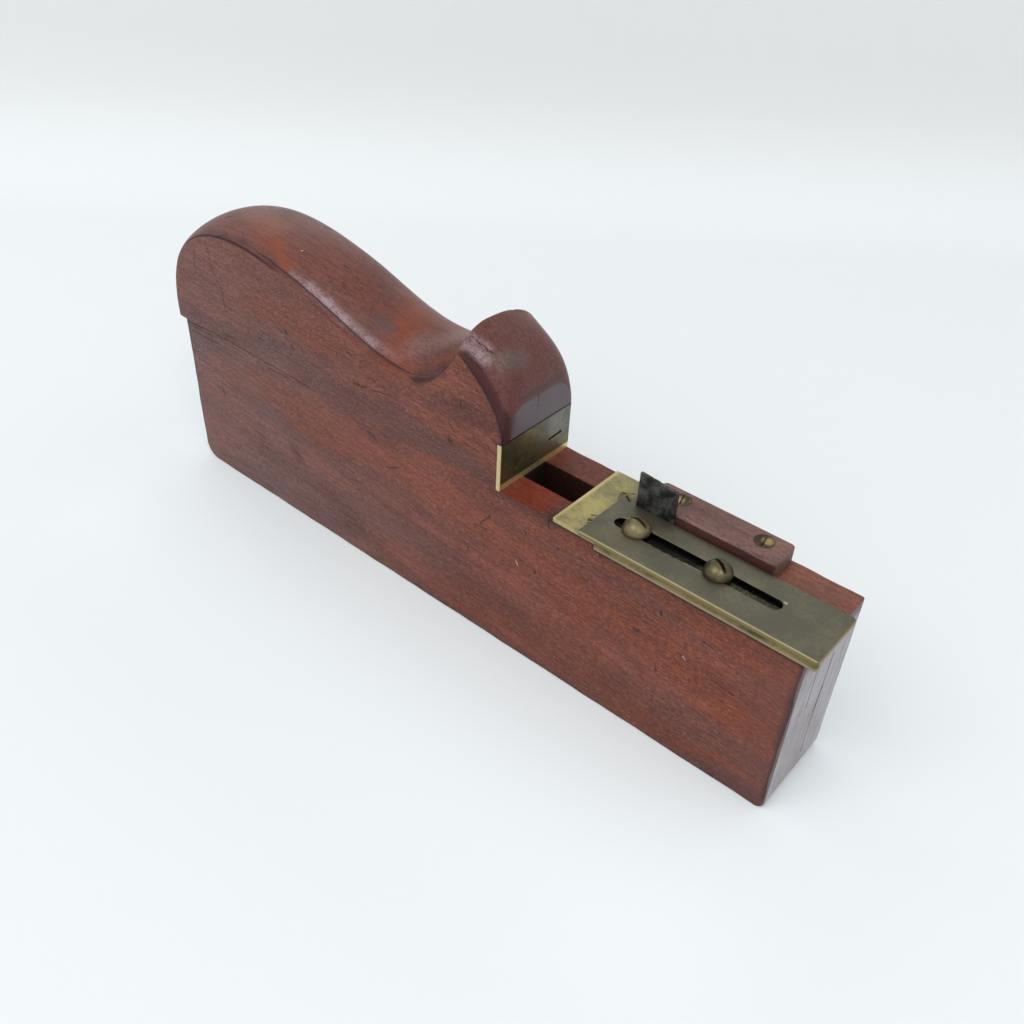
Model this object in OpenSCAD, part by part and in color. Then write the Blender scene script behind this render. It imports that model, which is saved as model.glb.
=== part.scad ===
// Slitting gauge: a wooden stock with a carved grip, a brass-faced fence and a brass slide on its deck.
// X runs along the stock towards the deck, the maker's near side is -Y, and the sole lies at Z = 0.

/* [Stock] */
// Length of the stock's sole
stock_l = 281; // [260:1:320]
// Width of the stock
stock_w = 36; // [34:1:42]
// Height of the deck above the sole
deck_h = 66.5; // [60:0.5:80]
// Length of the deck in front of the fence
deck_l = 112; // [108:0.2:125]
// Radius of the sole's heel corner
heel_r = 7; // [3:0.5:10]
// Radius of the sole's toe corner
toe_r = 3; // [1:0.5:6]

/* [Grip, the line where its flat sides end] */
// How far the grip hangs over the heel of the stock
heel_overhang = 4.2; // [2:0.2:8]
// Distance of the hump's top from the heel
hump_x = 39.5; // [34:0.5:46]
// Height of the hump's side line above the deck
hump_rise = 44.5; // [38:0.1:50]
// Distance of the saddle's lowest point from the fence
saddle_back = 43.3; // [40:0.1:48]
// Height of the saddle's side line above the deck
saddle_rise = 24; // [20:0.2:28]
// Distance of the horn's tip from the fence
horn_back = 19.3; // [17:0.1:22]
// Height of the horn's side line above the deck
horn_rise = 43.9; // [40:0.1:48]
// Height above the deck where the horn's front turns vertical at its sides
brow_rise = 19; // [18.8:0.1:22]

/* [Grip, how far its rounded middle stands above that line] */
// Swell at the heel
heel_swell = 3.6; // [2:0.2:6]
// Swell at the top of the hump
hump_swell = 5.3; // [3:0.1:9]
// Swell on the slope between hump and saddle
slope_swell = 10.3; // [8:0.1:13]
// Swell at the saddle
saddle_swell = 12; // [8:0.2:13]
// Swell at the horn's ridge
horn_swell = 8; // [6:0.2:12]
// Swell where the horn's front turns vertical
brow_swell = 10.4; // [8:0.2:12]
// Radius of the rounding across the grip
round_r = 19.5; // [19.5:0.5:26]
// How far the horn's crown leans towards the near side, as a share of half the width
horn_lean = 0.3; // [0:0.02:0.4]

/* [Deck slot] */
// Length of the slot, from the fence
well_l = 29; // [26:0.5:30]
// Width of the slot
well_w = 12; // [8:0.5:12]
// Depth of the slot
well_depth = 22; // [12:1:30]

/* [Fence plate] */
// Thickness of the brass plate on the fence
plate_t = 1.6; // [1:0.1:2.5]
// Height of the plate above the deck
plate_h = 17.8; // [15:0.2:18.5]
// Distance of each plate screw from the middle
plate_screw_y = 10.2; // [8:0.2:12]
// Height of the plate screws above the deck
plate_screw_z = 8.6; // [7:0.2:11]

/* [Bed plate] */
// Distance of the bed plate from the fence
bed_gap = 22.4; // [20.4:0.2:23]
// Thickness of the bed plate
bed_t = 1.6; // [1:0.1:2.5]
// Length of the bed plate's full-width end
bed_head_l = 15.9; // [15.6:0.1:16]
// Distance of the bed plate's far edge from the stock's far side
bed_inset = 1.4; // [0.4:0.1:3]
// Distance of the rear bed screws from the plate's end
bed_screw_in = 11.8; // [11.2:0.1:12]
// Distance of the rear bed screws from the middle of their pair
bed_screw_half = 8.2; // [7.6:0.1:8.6]
// Distance of the middle of the rear pair from the middle of the stock, towards the near side
bed_screw_shift = 2; // [1.6:0.1:2.6]
// Distance of the front bed screws from the toe
bed_screw_out = 8; // [6:0.5:10]
// Distance of the front bed screws from the middle of their pair
bed_screw_front = 6; // [5:0.2:7]

/* [Slide] */
// Opening between the fence and the slide
opening = 34.2; // [33:0.2:36]
// Length of the slide
slide_l = 81.2; // [79:0.2:90]
// Width of the slide
slide_w = 23.3; // [22:0.1:24]
// Thickness of the slide
slide_t = 1.6; // [1:0.1:2.5]
// Length of the slot in the slide
slot_l = 58; // [52:0.5:62]
// Width of the slot in the slide
slot_w = 5; // [4.9:0.1:6]
// Distance of the slot from the slide's end
slot_in = 4.9; // [3:0.1:6]
// Thickness of the guide lip under the slide's near edge
lip_t = 1.4; // [1:0.1:2]
// Height of the guide lip
lip_h = 2.3; // [2:0.1:4]
// Distance of the guide lip from the slide's end
lip_in = 5.4; // [3:0.1:8]
// Size of the chamfer at the lip's free corner
lip_chamfer = 1.2; // [0.5:0.1:1.8]
// Radius of the slide's near corner at the toe
slide_r = 1.3; // [0.5:0.1:2]

/* [Clamp screws] */
// Distance of the first clamp screw from the bed plate's end
clamp_in = 24; // [23.6:0.1:26]
// Distance between the clamp screws
clamp_pitch = 29.3; // [26:0.1:32]
// Distance of the clamp screws from the middle, towards the near side
clamp_y = 6.8; // [6.6:0.1:7]
// Diameter of a clamp screw's head
clamp_head_d = 9.3; // [8:0.1:10]
// Height of a clamp screw's head
clamp_head_h = 3.7; // [3:0.1:4.5]
// Diameter of a clamp screw's shank
clamp_d = 4.6; // [4:0.1:4.7]
// Depth of a clamp screw in the stock
clamp_depth = 20; // [14:1:30]
// Width of the slot in a clamp screw's head
clamp_slot_w = 1.1; // [0.8:0.1:1.4]
// Depth of the slot in a clamp screw's head
clamp_slot_depth = 1.3; // [0.8:0.1:1.6]

/* [Cutter] */
// Distance of the cutter from the bed plate's end
cutter_in = 16.2; // [15.5:0.1:17]
// Width of the cutter
cutter_w = 14.3; // [12:0.1:15]
// Thickness of the cutter
cutter_t = 1; // [0.8:0.1:1.2]
// Height of the cutter above the deck at its higher corner
cutter_rise = 16; // [14:0.5:20]
// Drop of the cutter's top edge to its lower corner
cutter_slope = 1.3; // [0:0.1:3]
// Depth of the cutter in the stock
cutter_depth = 15; // [12:0.5:18]
// How far the cutter can be lowered
cutter_drop = 12; // [8:0.5:14]

/* [Guide strip] */
// Distance of the strip from the bed plate's full-width end
strip_gap = 2.1; // [1:0.1:3]
// Length of the strip
strip_l = 47.6; // [45:0.2:56]
// Height of the strip
strip_h = 5.8; // [4:0.1:8]
// Radius of the strip's far corners
strip_r = 1.6; // [0.5:0.1:3]
// Distance of the first strip screw from the strip's end
strip_screw_in = 9.3; // [7:0.1:12]
// Distance between the strip screws
strip_pitch = 29.9; // [27:0.1:32]
// Distance of the strip screws from the middle
strip_screw_y = 13; // [11:0.1:14]

/* [Small screws] */
// Diameter of a countersunk head
flat_head_d = 6.8; // [6:0.1:7]
// Diameter of a small screw's shank
flat_d = 3.4; // [2.5:0.1:3.8]
// Length of a small screw
flat_l = 14; // [10:0.5:18]
// Width of a small screw's slot
driver_w = 0.9; // [0.6:0.1:1.2]
// Depth of a small screw's slot
driver_depth = 0.7; // [0.4:0.1:0.9]

/* [Fits] */
// Clearance round a fixed screw or a blade in its kerf
fit = 0.05; // [0.03:0.01:0.1]
// Clearance between sliding pieces
run = 0.1; // [0.08:0.01:0.2]

/* [Hidden] */
$fn = 64;
eps = 0.5;
heel_x = -stock_l / 2;
toe_x = stock_l / 2;
near_y = -stock_w / 2;
far_y = stock_w / 2;
fence_x = toe_x - deck_l;
bed_x = fence_x + bed_gap;
bed_top = deck_h + bed_t;
slide_x = fence_x + opening;
slide_top = bed_top + slide_t;
slide_near_y = near_y - lip_t - run;
slide_far_y = slide_near_y + slide_w;
clamp_x = bed_x + clamp_in;
cutter_x = bed_x + cutter_in;
cutter_y = slide_far_y + fit;
strip_x = bed_x + bed_head_l + strip_gap;
strip_y = cutter_y + cutter_t + fit;
clamp_ball_r = (pow(clamp_head_d / 2, 2) + pow(clamp_head_h, 2)) / (2 * clamp_head_h);
flat_head_h = (flat_head_d - flat_d) / 2;
flat_tip_h = 3;
clamp_tip_h = 3;
rear_x = bed_x + bed_screw_in;
front_x = toe_x - bed_screw_out;
kerf_depth = cutter_depth + cutter_drop + 1;
grip_root = 2;
heel_foot = 5;
grip_steps = 14;
arch_steps = 20;
// Where each screw came to rest: the turn of its slot in degrees.
fence_turn = [8, 94];
rear_turn = [20, -35];
front_turn = [50, 10];
clamp_turn = [-7, -29];
strip_turn = [-72, -79];

// The grip's side line and middle line both run through heel, hump, slope, saddle, horn and brow.
side_line = [
    [heel_x - heel_overhang, deck_h + heel_foot],
    [heel_x + hump_x, deck_h + hump_rise],
    [mix(heel_x + hump_x, fence_x - saddle_back, 0.52), deck_h + mix(hump_rise, saddle_rise, 0.49)],
    [fence_x - saddle_back, deck_h + saddle_rise],
    [fence_x - horn_back, deck_h + horn_rise],
    [fence_x, deck_h + brow_rise]
];
swell = [heel_swell, hump_swell, slope_swell, saddle_swell, horn_swell, brow_swell];
swell_angle = [180, 90, 72, 85, 83, 90];
mid_line = [for (i = [0:5]) side_line[i] + swell[i] * heading(swell_angle[i])];
// Directions in which the lines reach each place and leave it, in degrees.
side_in = [90, 0, -18, 0, 64, -86];
side_out = [90, 0, -18, 0, -34, -90];
mid_in = [90, 0, -18, 0, 59, -90];
mid_out = [90, 0, -18, 0, -18, -90];
// How full each stretch is at its start and at its end, as shares of the distance between its ends.
side_full = [[0.41, 0.49], [0.32, 0.37], [0.33, 0.35], [0.4, 0.31], [0.39, 0.31]];
mid_full = [[0.4, 0.48], [0.22, 0.36], [0.35, 0.38], [0.43, 0.24], [0.34, 0.48]];

function mix(a, b, t) = a + (b - a) * t;
function heading(a) = [cos(a), sin(a)];
// A smooth stretch from p to q that leaves p at angle a and reaches q at angle b.
function stretch(p, q, a, b, full, t) =
    let (d = norm(q - p), p1 = p + full[0] * d * heading(a), q1 = q - full[1] * d * heading(b))
    pow(1 - t, 3) * p + 3 * pow(1 - t, 2) * t * p1 + 3 * (1 - t) * t * t * q1 + pow(t, 3) * q;
// A line through all places, with grip_steps points to each stretch.
function line_through(places, into, out, full) = [
    for (i = [0:4]) for (k = [0:grip_steps - 1])
        stretch(places[i], places[i + 1], out[i], into[i + 1], full[i], k / grip_steps),
    places[5]
];
// Rounding across the grip: 0 at both sides, 1 at its crown, which lies off the middle by the lean.
function rounding(u, lean) =
    let (v = (u + lean) / (1 + lean * sign(u + lean)), low = sqrt(pow(round_r, 2) - pow(stock_w / 2, 2)))
    max(0, (sqrt(pow(round_r, 2) - pow(v * stock_w / 2, 2)) - low) / (round_r - low));
// The horn leans fully, the saddle not at all.
function lean_at(i) = horn_lean * min(1, max(0, i / grip_steps - 3));

// The grip is a row of stations from its foot at the heel to its brow at the fence. Each station is a loop
// across the stock: the arch from the near side to the far side, and back through a point on each side.
module grip() {
    foot_side = side_line[0] - [0, heel_foot];
    foot_mid = foot_side + heel_swell * heading(180);
    side = concat([foot_side], line_through(side_line, side_in, side_out, side_full));
    middle = concat([foot_mid], line_through(mid_line, mid_in, mid_out, mid_full));
    last = len(side) - 1;
    cols = arch_steps + 3;
    root = concat([[heel_x, deck_h]], [for (i = [1:last])
        let (along = (side[i][0] - side[0][0]) / (fence_x - side[0][0]))
        [mix(heel_x + grip_root, fence_x, mix(i / last, along, 0.9)), deck_h - grip_root]]);
    points = [for (i = [0:last]) each concat(
        [[root[i][0], near_y, root[i][1]]],
        [for (j = [0:arch_steps])
            let (u = -cos(180 * j / arch_steps), p = mix(side[i], middle[i], rounding(u, lean_at(i - 1))))
            [p[0], u * stock_w / 2, p[1]]],
        [[root[i][0], far_y, root[i][1]]]
    )];
    skin = [for (i = [0:last - 1]) for (j = [0:cols - 1])
        let (a = i * cols + j, b = i * cols + (j + 1) % cols, c = a + cols, d = b + cols)
        each j < cols / 2 ? [[a, d, c], [a, b, d]] : [[a, b, c], [b, d, c]]
    ];
    foot_face = [for (j = [0:cols - 1]) cols - 1 - j];
    brow_face = [for (j = [0:cols - 1]) last * cols + j];
    polyhedron(points, concat(skin, [foot_face, brow_face]));
}

// Side view of the stock below the deck, with its two rounded corners.
module blank_outline() {
    translate([heel_x + heel_r, 0]) square([stock_l - heel_r - toe_r, deck_h]);
    translate([heel_x, heel_r]) square([heel_r, deck_h - heel_r]);
    translate([toe_x - toe_r, toe_r]) square([toe_r, deck_h - toe_r]);
    translate([heel_x + heel_r, heel_r]) circle(heel_r);
    translate([toe_x - toe_r, toe_r]) circle(toe_r);
}

// A box given by its low corner and its high corner.
module box(low, high) {
    translate(low) cube(high - low);
}

module at_bed_screws() {
    for (side = [-1, 1]) translate([rear_x, side * bed_screw_half - bed_screw_shift, bed_top]) children();
    for (side = [-1, 1]) translate([front_x, side * bed_screw_front - clamp_y, bed_top]) children();
}

module at_clamp_screws() {
    for (i = [0, 1]) translate([clamp_x + i * clamp_pitch, -clamp_y, slide_top]) children();
}

module at_strip_screws() {
    for (i = [0, 1])
        translate([strip_x + strip_screw_in + i * strip_pitch, strip_screw_y, deck_h + strip_h]) children();
}

module at_fence_screws() {
    for (side = [-1, 1])
        translate([fence_x, side * plate_screw_y, deck_h + plate_screw_z]) rotate([0, 90, 0]) children();
}

// A countersunk screw with its head's top at the origin, pointing down, or its hole where grow is above 0.
module flat_screw(grow = 0, turn = 0) {
    difference() {
        union() {
            translate([0, 0, -flat_head_h])
                cylinder(h = flat_head_h, d1 = flat_d + 2 * grow, d2 = flat_head_d + 2 * grow);
            translate([0, 0, flat_tip_h - flat_l - grow])
                cylinder(h = flat_l - flat_tip_h - flat_head_h + 2 * grow, d = flat_d + 2 * grow);
            translate([0, 0, -flat_l - grow])
                cylinder(h = flat_tip_h, d1 = 1 + 2 * grow, d2 = flat_d + 2 * grow);
            if (grow > 0) cylinder(h = eps, d = flat_head_d + 2 * grow);
        }
        if (grow == 0) driver_slot(flat_head_d, driver_w, driver_depth, turn);
    }
}

// The slot across a head whose top is at the origin.
module driver_slot(d, wide, deep, turn) {
    rotate([0, 0, turn]) translate([-d, -wide / 2, -deep]) cube([2 * d, wide, deep + eps]);
}

// A round-headed screw with the underside of its head at the origin.
module clamp_screw(turn) {
    shank_l = slide_t + bed_t + clamp_depth;
    color("darkgoldenrod") difference() {
        union() {
            intersection() {
                translate([0, 0, clamp_head_h - clamp_ball_r]) sphere(clamp_ball_r);
                cylinder(h = clamp_head_h + eps, d = clamp_head_d + eps);
            }
            translate([0, 0, clamp_tip_h - shank_l]) cylinder(h = shank_l - clamp_tip_h + eps, d = clamp_d);
            translate([0, 0, -shank_l]) cylinder(h = clamp_tip_h, d1 = clamp_d / 3, d2 = clamp_d);
        }
        translate([0, 0, clamp_head_h]) driver_slot(clamp_head_d, clamp_slot_w, clamp_slot_depth, turn);
    }
}

// Bores for the clamp screws, from the slide's top down.
module clamp_bores() {
    bore_l = slide_t + bed_t + clamp_depth + eps;
    at_clamp_screws() translate([0, 0, -bore_l]) cylinder(h = bore_l, d = clamp_d + 2 * fit);
}

module stock() {
    color("saddlebrown") difference() {
        union() {
            translate([0, far_y, 0]) rotate([90, 0, 0]) linear_extrude(stock_w) blank_outline();
            grip();
        }
        box([fence_x - plate_t, near_y - eps, deck_h], [fence_x + eps, far_y + eps, deck_h + plate_h]);
        box([fence_x, -well_w / 2, deck_h - well_depth], [fence_x + well_l, well_w / 2, deck_h + eps]);
        box([cutter_x - fit, cutter_y - fit, deck_h - kerf_depth],
            [cutter_x + cutter_w + fit, cutter_y + cutter_t + fit, deck_h + eps]);
        at_fence_screws() flat_screw(fit);
        at_bed_screws() flat_screw(fit);
        at_strip_screws() flat_screw(fit);
        clamp_bores();
    }
}

module fence_plate() {
    color("gold") difference() {
        box([fence_x - plate_t, near_y, deck_h], [fence_x, far_y, deck_h + plate_h]);
        at_fence_screws() flat_screw(fit);
    }
}

// An L: a head across the stock and a tail to the toe under the slide.
module bed_plate() {
    color("gold") difference() {
        union() {
            box([bed_x, near_y, deck_h], [bed_x + bed_head_l, far_y - bed_inset, bed_top]);
            box([bed_x, near_y, deck_h], [toe_x, slide_far_y, bed_top]);
        }
        at_bed_screws() flat_screw(fit);
        clamp_bores();
    }
}

// The slide seen from above, with its rounded corner at the toe, from its near corner at the heel side.
module slide_outline() {
    square([slide_l - slide_r, slide_w]);
    translate([0, slide_r]) square([slide_l, slide_w - slide_r]);
    translate([slide_l - slide_r, slide_r]) circle(slide_r);
}

// The slide's slot seen from above, from the middle of its rear end.
module slot_outline() {
    translate([0, -slot_w / 2]) square([slot_l - slot_w, slot_w]);
    for (x = [0, slot_l - slot_w]) translate([x, 0]) circle(d = slot_w);
}

module slide() {
    color("khaki") difference() {
        translate([slide_x, slide_near_y, bed_top]) linear_extrude(slide_t) slide_outline();
        translate([slide_x + slot_in + slot_w / 2, -clamp_y, bed_top - eps])
            linear_extrude(slide_t + 2 * eps) slot_outline();
    }
}

// A strip under the slide's near edge that runs along the stock's near face.
module slide_lip() {
    color("khaki") translate([slide_x, slide_near_y, bed_top]) intersection() {
        translate([0, lip_t, 0]) rotate([90, 0, 0]) linear_extrude(lip_t)
            polygon([[lip_in, 0], [lip_in, -lip_h], [slide_l - lip_chamfer, -lip_h],
                [slide_l, lip_chamfer - lip_h], [slide_l, 0]]);
        translate([0, 0, -lip_h]) linear_extrude(lip_h) slide_outline();
    }
}

module cutter() {
    color("dimgray") translate([cutter_x, cutter_y + cutter_t, deck_h]) rotate([90, 0, 0])
        linear_extrude(cutter_t)
            polygon([[0, -cutter_depth], [cutter_w, -cutter_depth], [cutter_w, cutter_rise - cutter_slope],
                [0, cutter_rise]]);
}

// A wooden strip behind the cutter, with its far corners rounded.
module guide_strip() {
    color("chocolate") difference() {
        translate([strip_x, strip_y, deck_h]) linear_extrude(strip_h) {
            square([strip_l, far_y - strip_y - strip_r]);
            translate([strip_r, 0]) square([strip_l - 2 * strip_r, far_y - strip_y]);
            for (x = [strip_r, strip_l - strip_r]) translate([x, far_y - strip_y - strip_r]) circle(strip_r);
        }
        at_strip_screws() flat_screw(fit);
    }
}

// In each pair of screws 0 is the near or the rear one, and 1 the far or the front one.
module fence_screw(i) {
    color("goldenrod") translate([fence_x, (2 * i - 1) * plate_screw_y, deck_h + plate_screw_z])
        rotate([0, 90, 0]) flat_screw(turn = fence_turn[i]);
}

module rear_bed_screw(i) {
    color("goldenrod") translate([rear_x, (2 * i - 1) * bed_screw_half - bed_screw_shift, bed_top])
        flat_screw(turn = rear_turn[i]);
}

module front_bed_screw(i) {
    color("goldenrod") translate([front_x, (2 * i - 1) * bed_screw_front - clamp_y, bed_top])
        flat_screw(turn = front_turn[i]);
}

module strip_screw(i) {
    color("goldenrod")
        translate([strip_x + strip_screw_in + i * strip_pitch, strip_screw_y, deck_h + strip_h])
        flat_screw(turn = strip_turn[i]);
}

module placed_clamp_screw(i) {
    translate([clamp_x + i * clamp_pitch, -clamp_y, slide_top]) clamp_screw(clamp_turn[i]);
}

stock();
fence_plate();
fence_screw(0);  // fence_screw_near
fence_screw(1);  // fence_screw_far
bed_plate();
rear_bed_screw(0);  // bed_screw_rear_near
rear_bed_screw(1);  // bed_screw_rear_far
front_bed_screw(0);  // bed_screw_front_near
front_bed_screw(1);  // bed_screw_front_far
slide();
slide_lip();
placed_clamp_screw(0);  // clamp_screw_rear
placed_clamp_screw(1);  // clamp_screw_front
cutter();
guide_strip();
strip_screw(0);  // strip_screw_rear
strip_screw(1);  // strip_screw_front
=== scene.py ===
import math

import bmesh
import bpy
import numpy as np
from mathutils import Matrix, Vector


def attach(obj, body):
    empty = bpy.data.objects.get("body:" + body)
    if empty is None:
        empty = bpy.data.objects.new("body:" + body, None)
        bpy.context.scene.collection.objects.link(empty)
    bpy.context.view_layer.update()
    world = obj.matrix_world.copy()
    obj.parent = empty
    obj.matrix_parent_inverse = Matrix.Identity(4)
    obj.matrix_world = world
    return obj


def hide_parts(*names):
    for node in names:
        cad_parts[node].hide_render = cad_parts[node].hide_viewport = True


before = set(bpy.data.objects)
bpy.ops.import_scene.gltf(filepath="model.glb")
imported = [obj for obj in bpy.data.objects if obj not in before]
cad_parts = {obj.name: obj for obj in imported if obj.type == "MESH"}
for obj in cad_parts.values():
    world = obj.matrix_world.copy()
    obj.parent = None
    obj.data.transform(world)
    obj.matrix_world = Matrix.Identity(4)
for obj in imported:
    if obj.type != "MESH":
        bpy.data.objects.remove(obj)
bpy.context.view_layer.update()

# Lengths below are in millimetres, in the frame of the CAD model, and become metres when a mesh is made.
mm = 0.001
# points of the stock's grid closer than this count as one
tiny = 1e-6


def heading(angle):
    # the unit vector at an angle: its cosine and its sine
    return np.array([math.cos(math.radians(angle)), math.sin(math.radians(angle))])


def stretch(p, q, angleOut, angleIn, fullness, t):
    # cubic from p to q, with its handles p1 and q1 along the two angles:
    # (1-t)^3 p + 3 (1-t)^2 t p1 + 3 (1-t) t^2 q1 + t^3 q
    p, q = np.asarray(p, float), np.asarray(q, float)
    reach = np.linalg.norm(q - p)
    p1 = p + fullness[0] * reach * heading(angleOut)
    q1 = q - fullness[1] * reach * heading(angleIn)
    t = t[:, None]
    return (1 - t) ** 3 * p + 3 * (1 - t) ** 2 * t * p1 + 3 * (1 - t) * t ** 2 * q1 + t ** 3 * q


def lineThrough(places, anglesIn, anglesOut, fullness, steps):
    # a chain of such cubics from place to place, each cut into the same number of steps
    t = np.arange(steps) / steps
    parts = [stretch(places[i], places[i + 1], anglesOut[i], anglesIn[i + 1], fullness[i], t)
             for i in range(len(places) - 1)]
    return np.vstack(parts + [np.asarray([places[-1]], float)])


def softened(corners, spacing, closed=True):
    # a loop of corners (a, b, radius): each corner becomes an arc tangent to both its sides,
    # and each side is cut into steps of about the spacing
    loop = []
    n = len(corners)
    for i in range(n):
        a, b, c = (np.array(corners[j % n][:2], float) for j in (i - 1, i, i + 1))
        radius = corners[i][2]
        u, v = (a - b) / np.linalg.norm(a - b), (c - b) / np.linalg.norm(c - b)
        if radius > 0:
            half = math.acos(np.clip(u @ v, -1, 1)) / 2
            start, end = b + u * radius / math.tan(half), b + v * radius / math.tan(half)
            centre = b + (u + v) / np.linalg.norm(u + v) * radius / math.sin(half)
            turn = math.pi - 2 * half
            k = np.linspace(0, 1, 7)[:, None]
            ray0, ray1 = start - centre, end - centre
            loop.append(centre + (np.sin((1 - k) * turn) * ray0 + np.sin(k * turn) * ray1) / math.sin(turn))
        else:
            loop.append(b[None, :])
    whole = []
    for i in range(n):
        p, q = loop[i][-1], loop[(i + 1) % n][0]
        cuts = max(1, int(np.linalg.norm(q - p) / spacing))
        between = p + (q - p) * (np.arange(1, cuts) / cuts)[:, None]
        whole += [loop[i], between] if closed or i < n - 1 else [loop[i]]
    return np.vstack(whole)


def outwardOf(loop):
    # mitred normals of a closed loop that runs clockwise: the left side of each step points out
    step = np.roll(loop, -1, 0) - loop
    step /= np.maximum(np.linalg.norm(step, axis=1), 1e-9)[:, None]
    normal = np.stack([-step[:, 1], step[:, 0]], 1)
    before = np.roll(normal, 1, 0)
    return (normal + before) / (1 + np.sum(normal * before, 1))[:, None].clip(0.5)


def ripple(x, seed, *waves):
    # a quiet uneven line: a sum of sines, each wave given as (length, height)
    return sum(h * np.sin(2 * math.pi * x / w + seed * (k + 1.7)) for k, (w, h) in enumerate(waves))


def ramp(value, start, end):
    # from 0 at the start to 1 at the end, and level beyond
    return np.clip((value - start) / (end - start), 0, 1)


def bump(distance, width):
    # 1 at the middle, falling smoothly to 0 at the width
    return np.where(distance < width, 0.5 + 0.5 * np.cos(math.pi * np.clip(distance / width, 0, 1)), 0.0)


def makePiece(name, points, faces, body, material, sharp=32, replaces=(), indices=None, masks=None):
    # points in mm; sharp is the angle from which an edge stays hard, and masks are values for each point
    mesh = bpy.data.meshes.new(name)
    mesh.from_pydata((points * mm).tolist(), [], faces)
    if indices is not None:
        mesh.polygons.foreach_set("material_index", indices)
    for key, values in (masks or {}).items():
        mesh.attributes.new(key, "FLOAT", "POINT").data.foreach_set("value", values)
    work = bmesh.new()
    work.from_mesh(mesh)
    bmesh.ops.remove_doubles(work, verts=work.verts, dist=2e-6)
    bmesh.ops.dissolve_degenerate(work, edges=work.edges, dist=1e-6)
    work.to_mesh(mesh)
    work.free()
    sides = np.empty(len(mesh.polygons), np.int32)
    mesh.polygons.foreach_get("loop_total", sides)
    mesh.polygons.foreach_set("use_smooth", sides <= 4)
    mesh.set_sharp_from_angle(angle=math.radians(sharp))
    piece = bpy.data.objects.new(name, mesh)
    bpy.context.scene.collection.objects.link(piece)
    for one in material if isinstance(material, list) else [material]:
        mesh.materials.append(one)
    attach(piece, body)
    if replaces:
        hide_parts(*replaces)
    print(name, "made with", len(mesh.polygons), "faces")


def gridFaces(rows, cols, wrapRows=False, wrapCols=False, offset=0):
    # quads of a grid of rows by cols points
    i = np.arange(rows if wrapRows else rows - 1)
    j = np.arange(cols if wrapCols else cols - 1)
    i, j = np.meshgrid(i, j, indexing="ij")
    i2, j2 = (i + 1) % rows, (j + 1) % cols
    quads = np.stack([i * cols + j, i2 * cols + j, i2 * cols + j2, i * cols + j2], -1).reshape(-1, 4)
    return (quads + offset).tolist()


def lids(rows, n, offset=0):
    # the two end faces of a stack of rows of n points each
    return [list(range(offset, offset + n)), list(range(offset + (rows - 1) * n, offset + rows * n))[::-1]]


def slab(loop, low, high, edge, place):
    # a plate from a clockwise loop: bottom, wall and top with rounded edges;
    # place turns (a, b, height) to x, y, z
    outward = outwardOf(loop)
    turn = np.linspace(0, math.pi / 2, 4)
    inset = np.concatenate([edge * (1 - np.sin(turn)), edge * (1 - np.cos(turn))])
    height = np.concatenate([low + edge * (1 - np.cos(turn)), high - edge * (1 - np.sin(turn))])
    rows = loop[None] - outward[None] * inset[:, None, None]
    grid = np.concatenate([rows, np.broadcast_to(height[:, None, None], rows.shape[:2] + (1,))], 2)
    n = len(loop)
    faces = [[a, d, c, b] for a, b, c, d in gridFaces(len(height), n, wrapCols=True)]
    return place(grid.reshape(-1, 3)), faces + lids(len(height), n)


def patch(tone, weight, soft, **sides):
    # a coloured box: its tone, its weight, the softness of its edge in mm, and (low, high) along x, y and z
    return sides, soft, tone, weight


def oblong(x, y, radii):
    # the corners of an oblong, clockwise from its low corner, each with its radius
    return [(x[0], y[0], radii[0]), (x[0], y[1], radii[1]), (x[1], y[1], radii[2]), (x[1], y[0], radii[3])]


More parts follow.
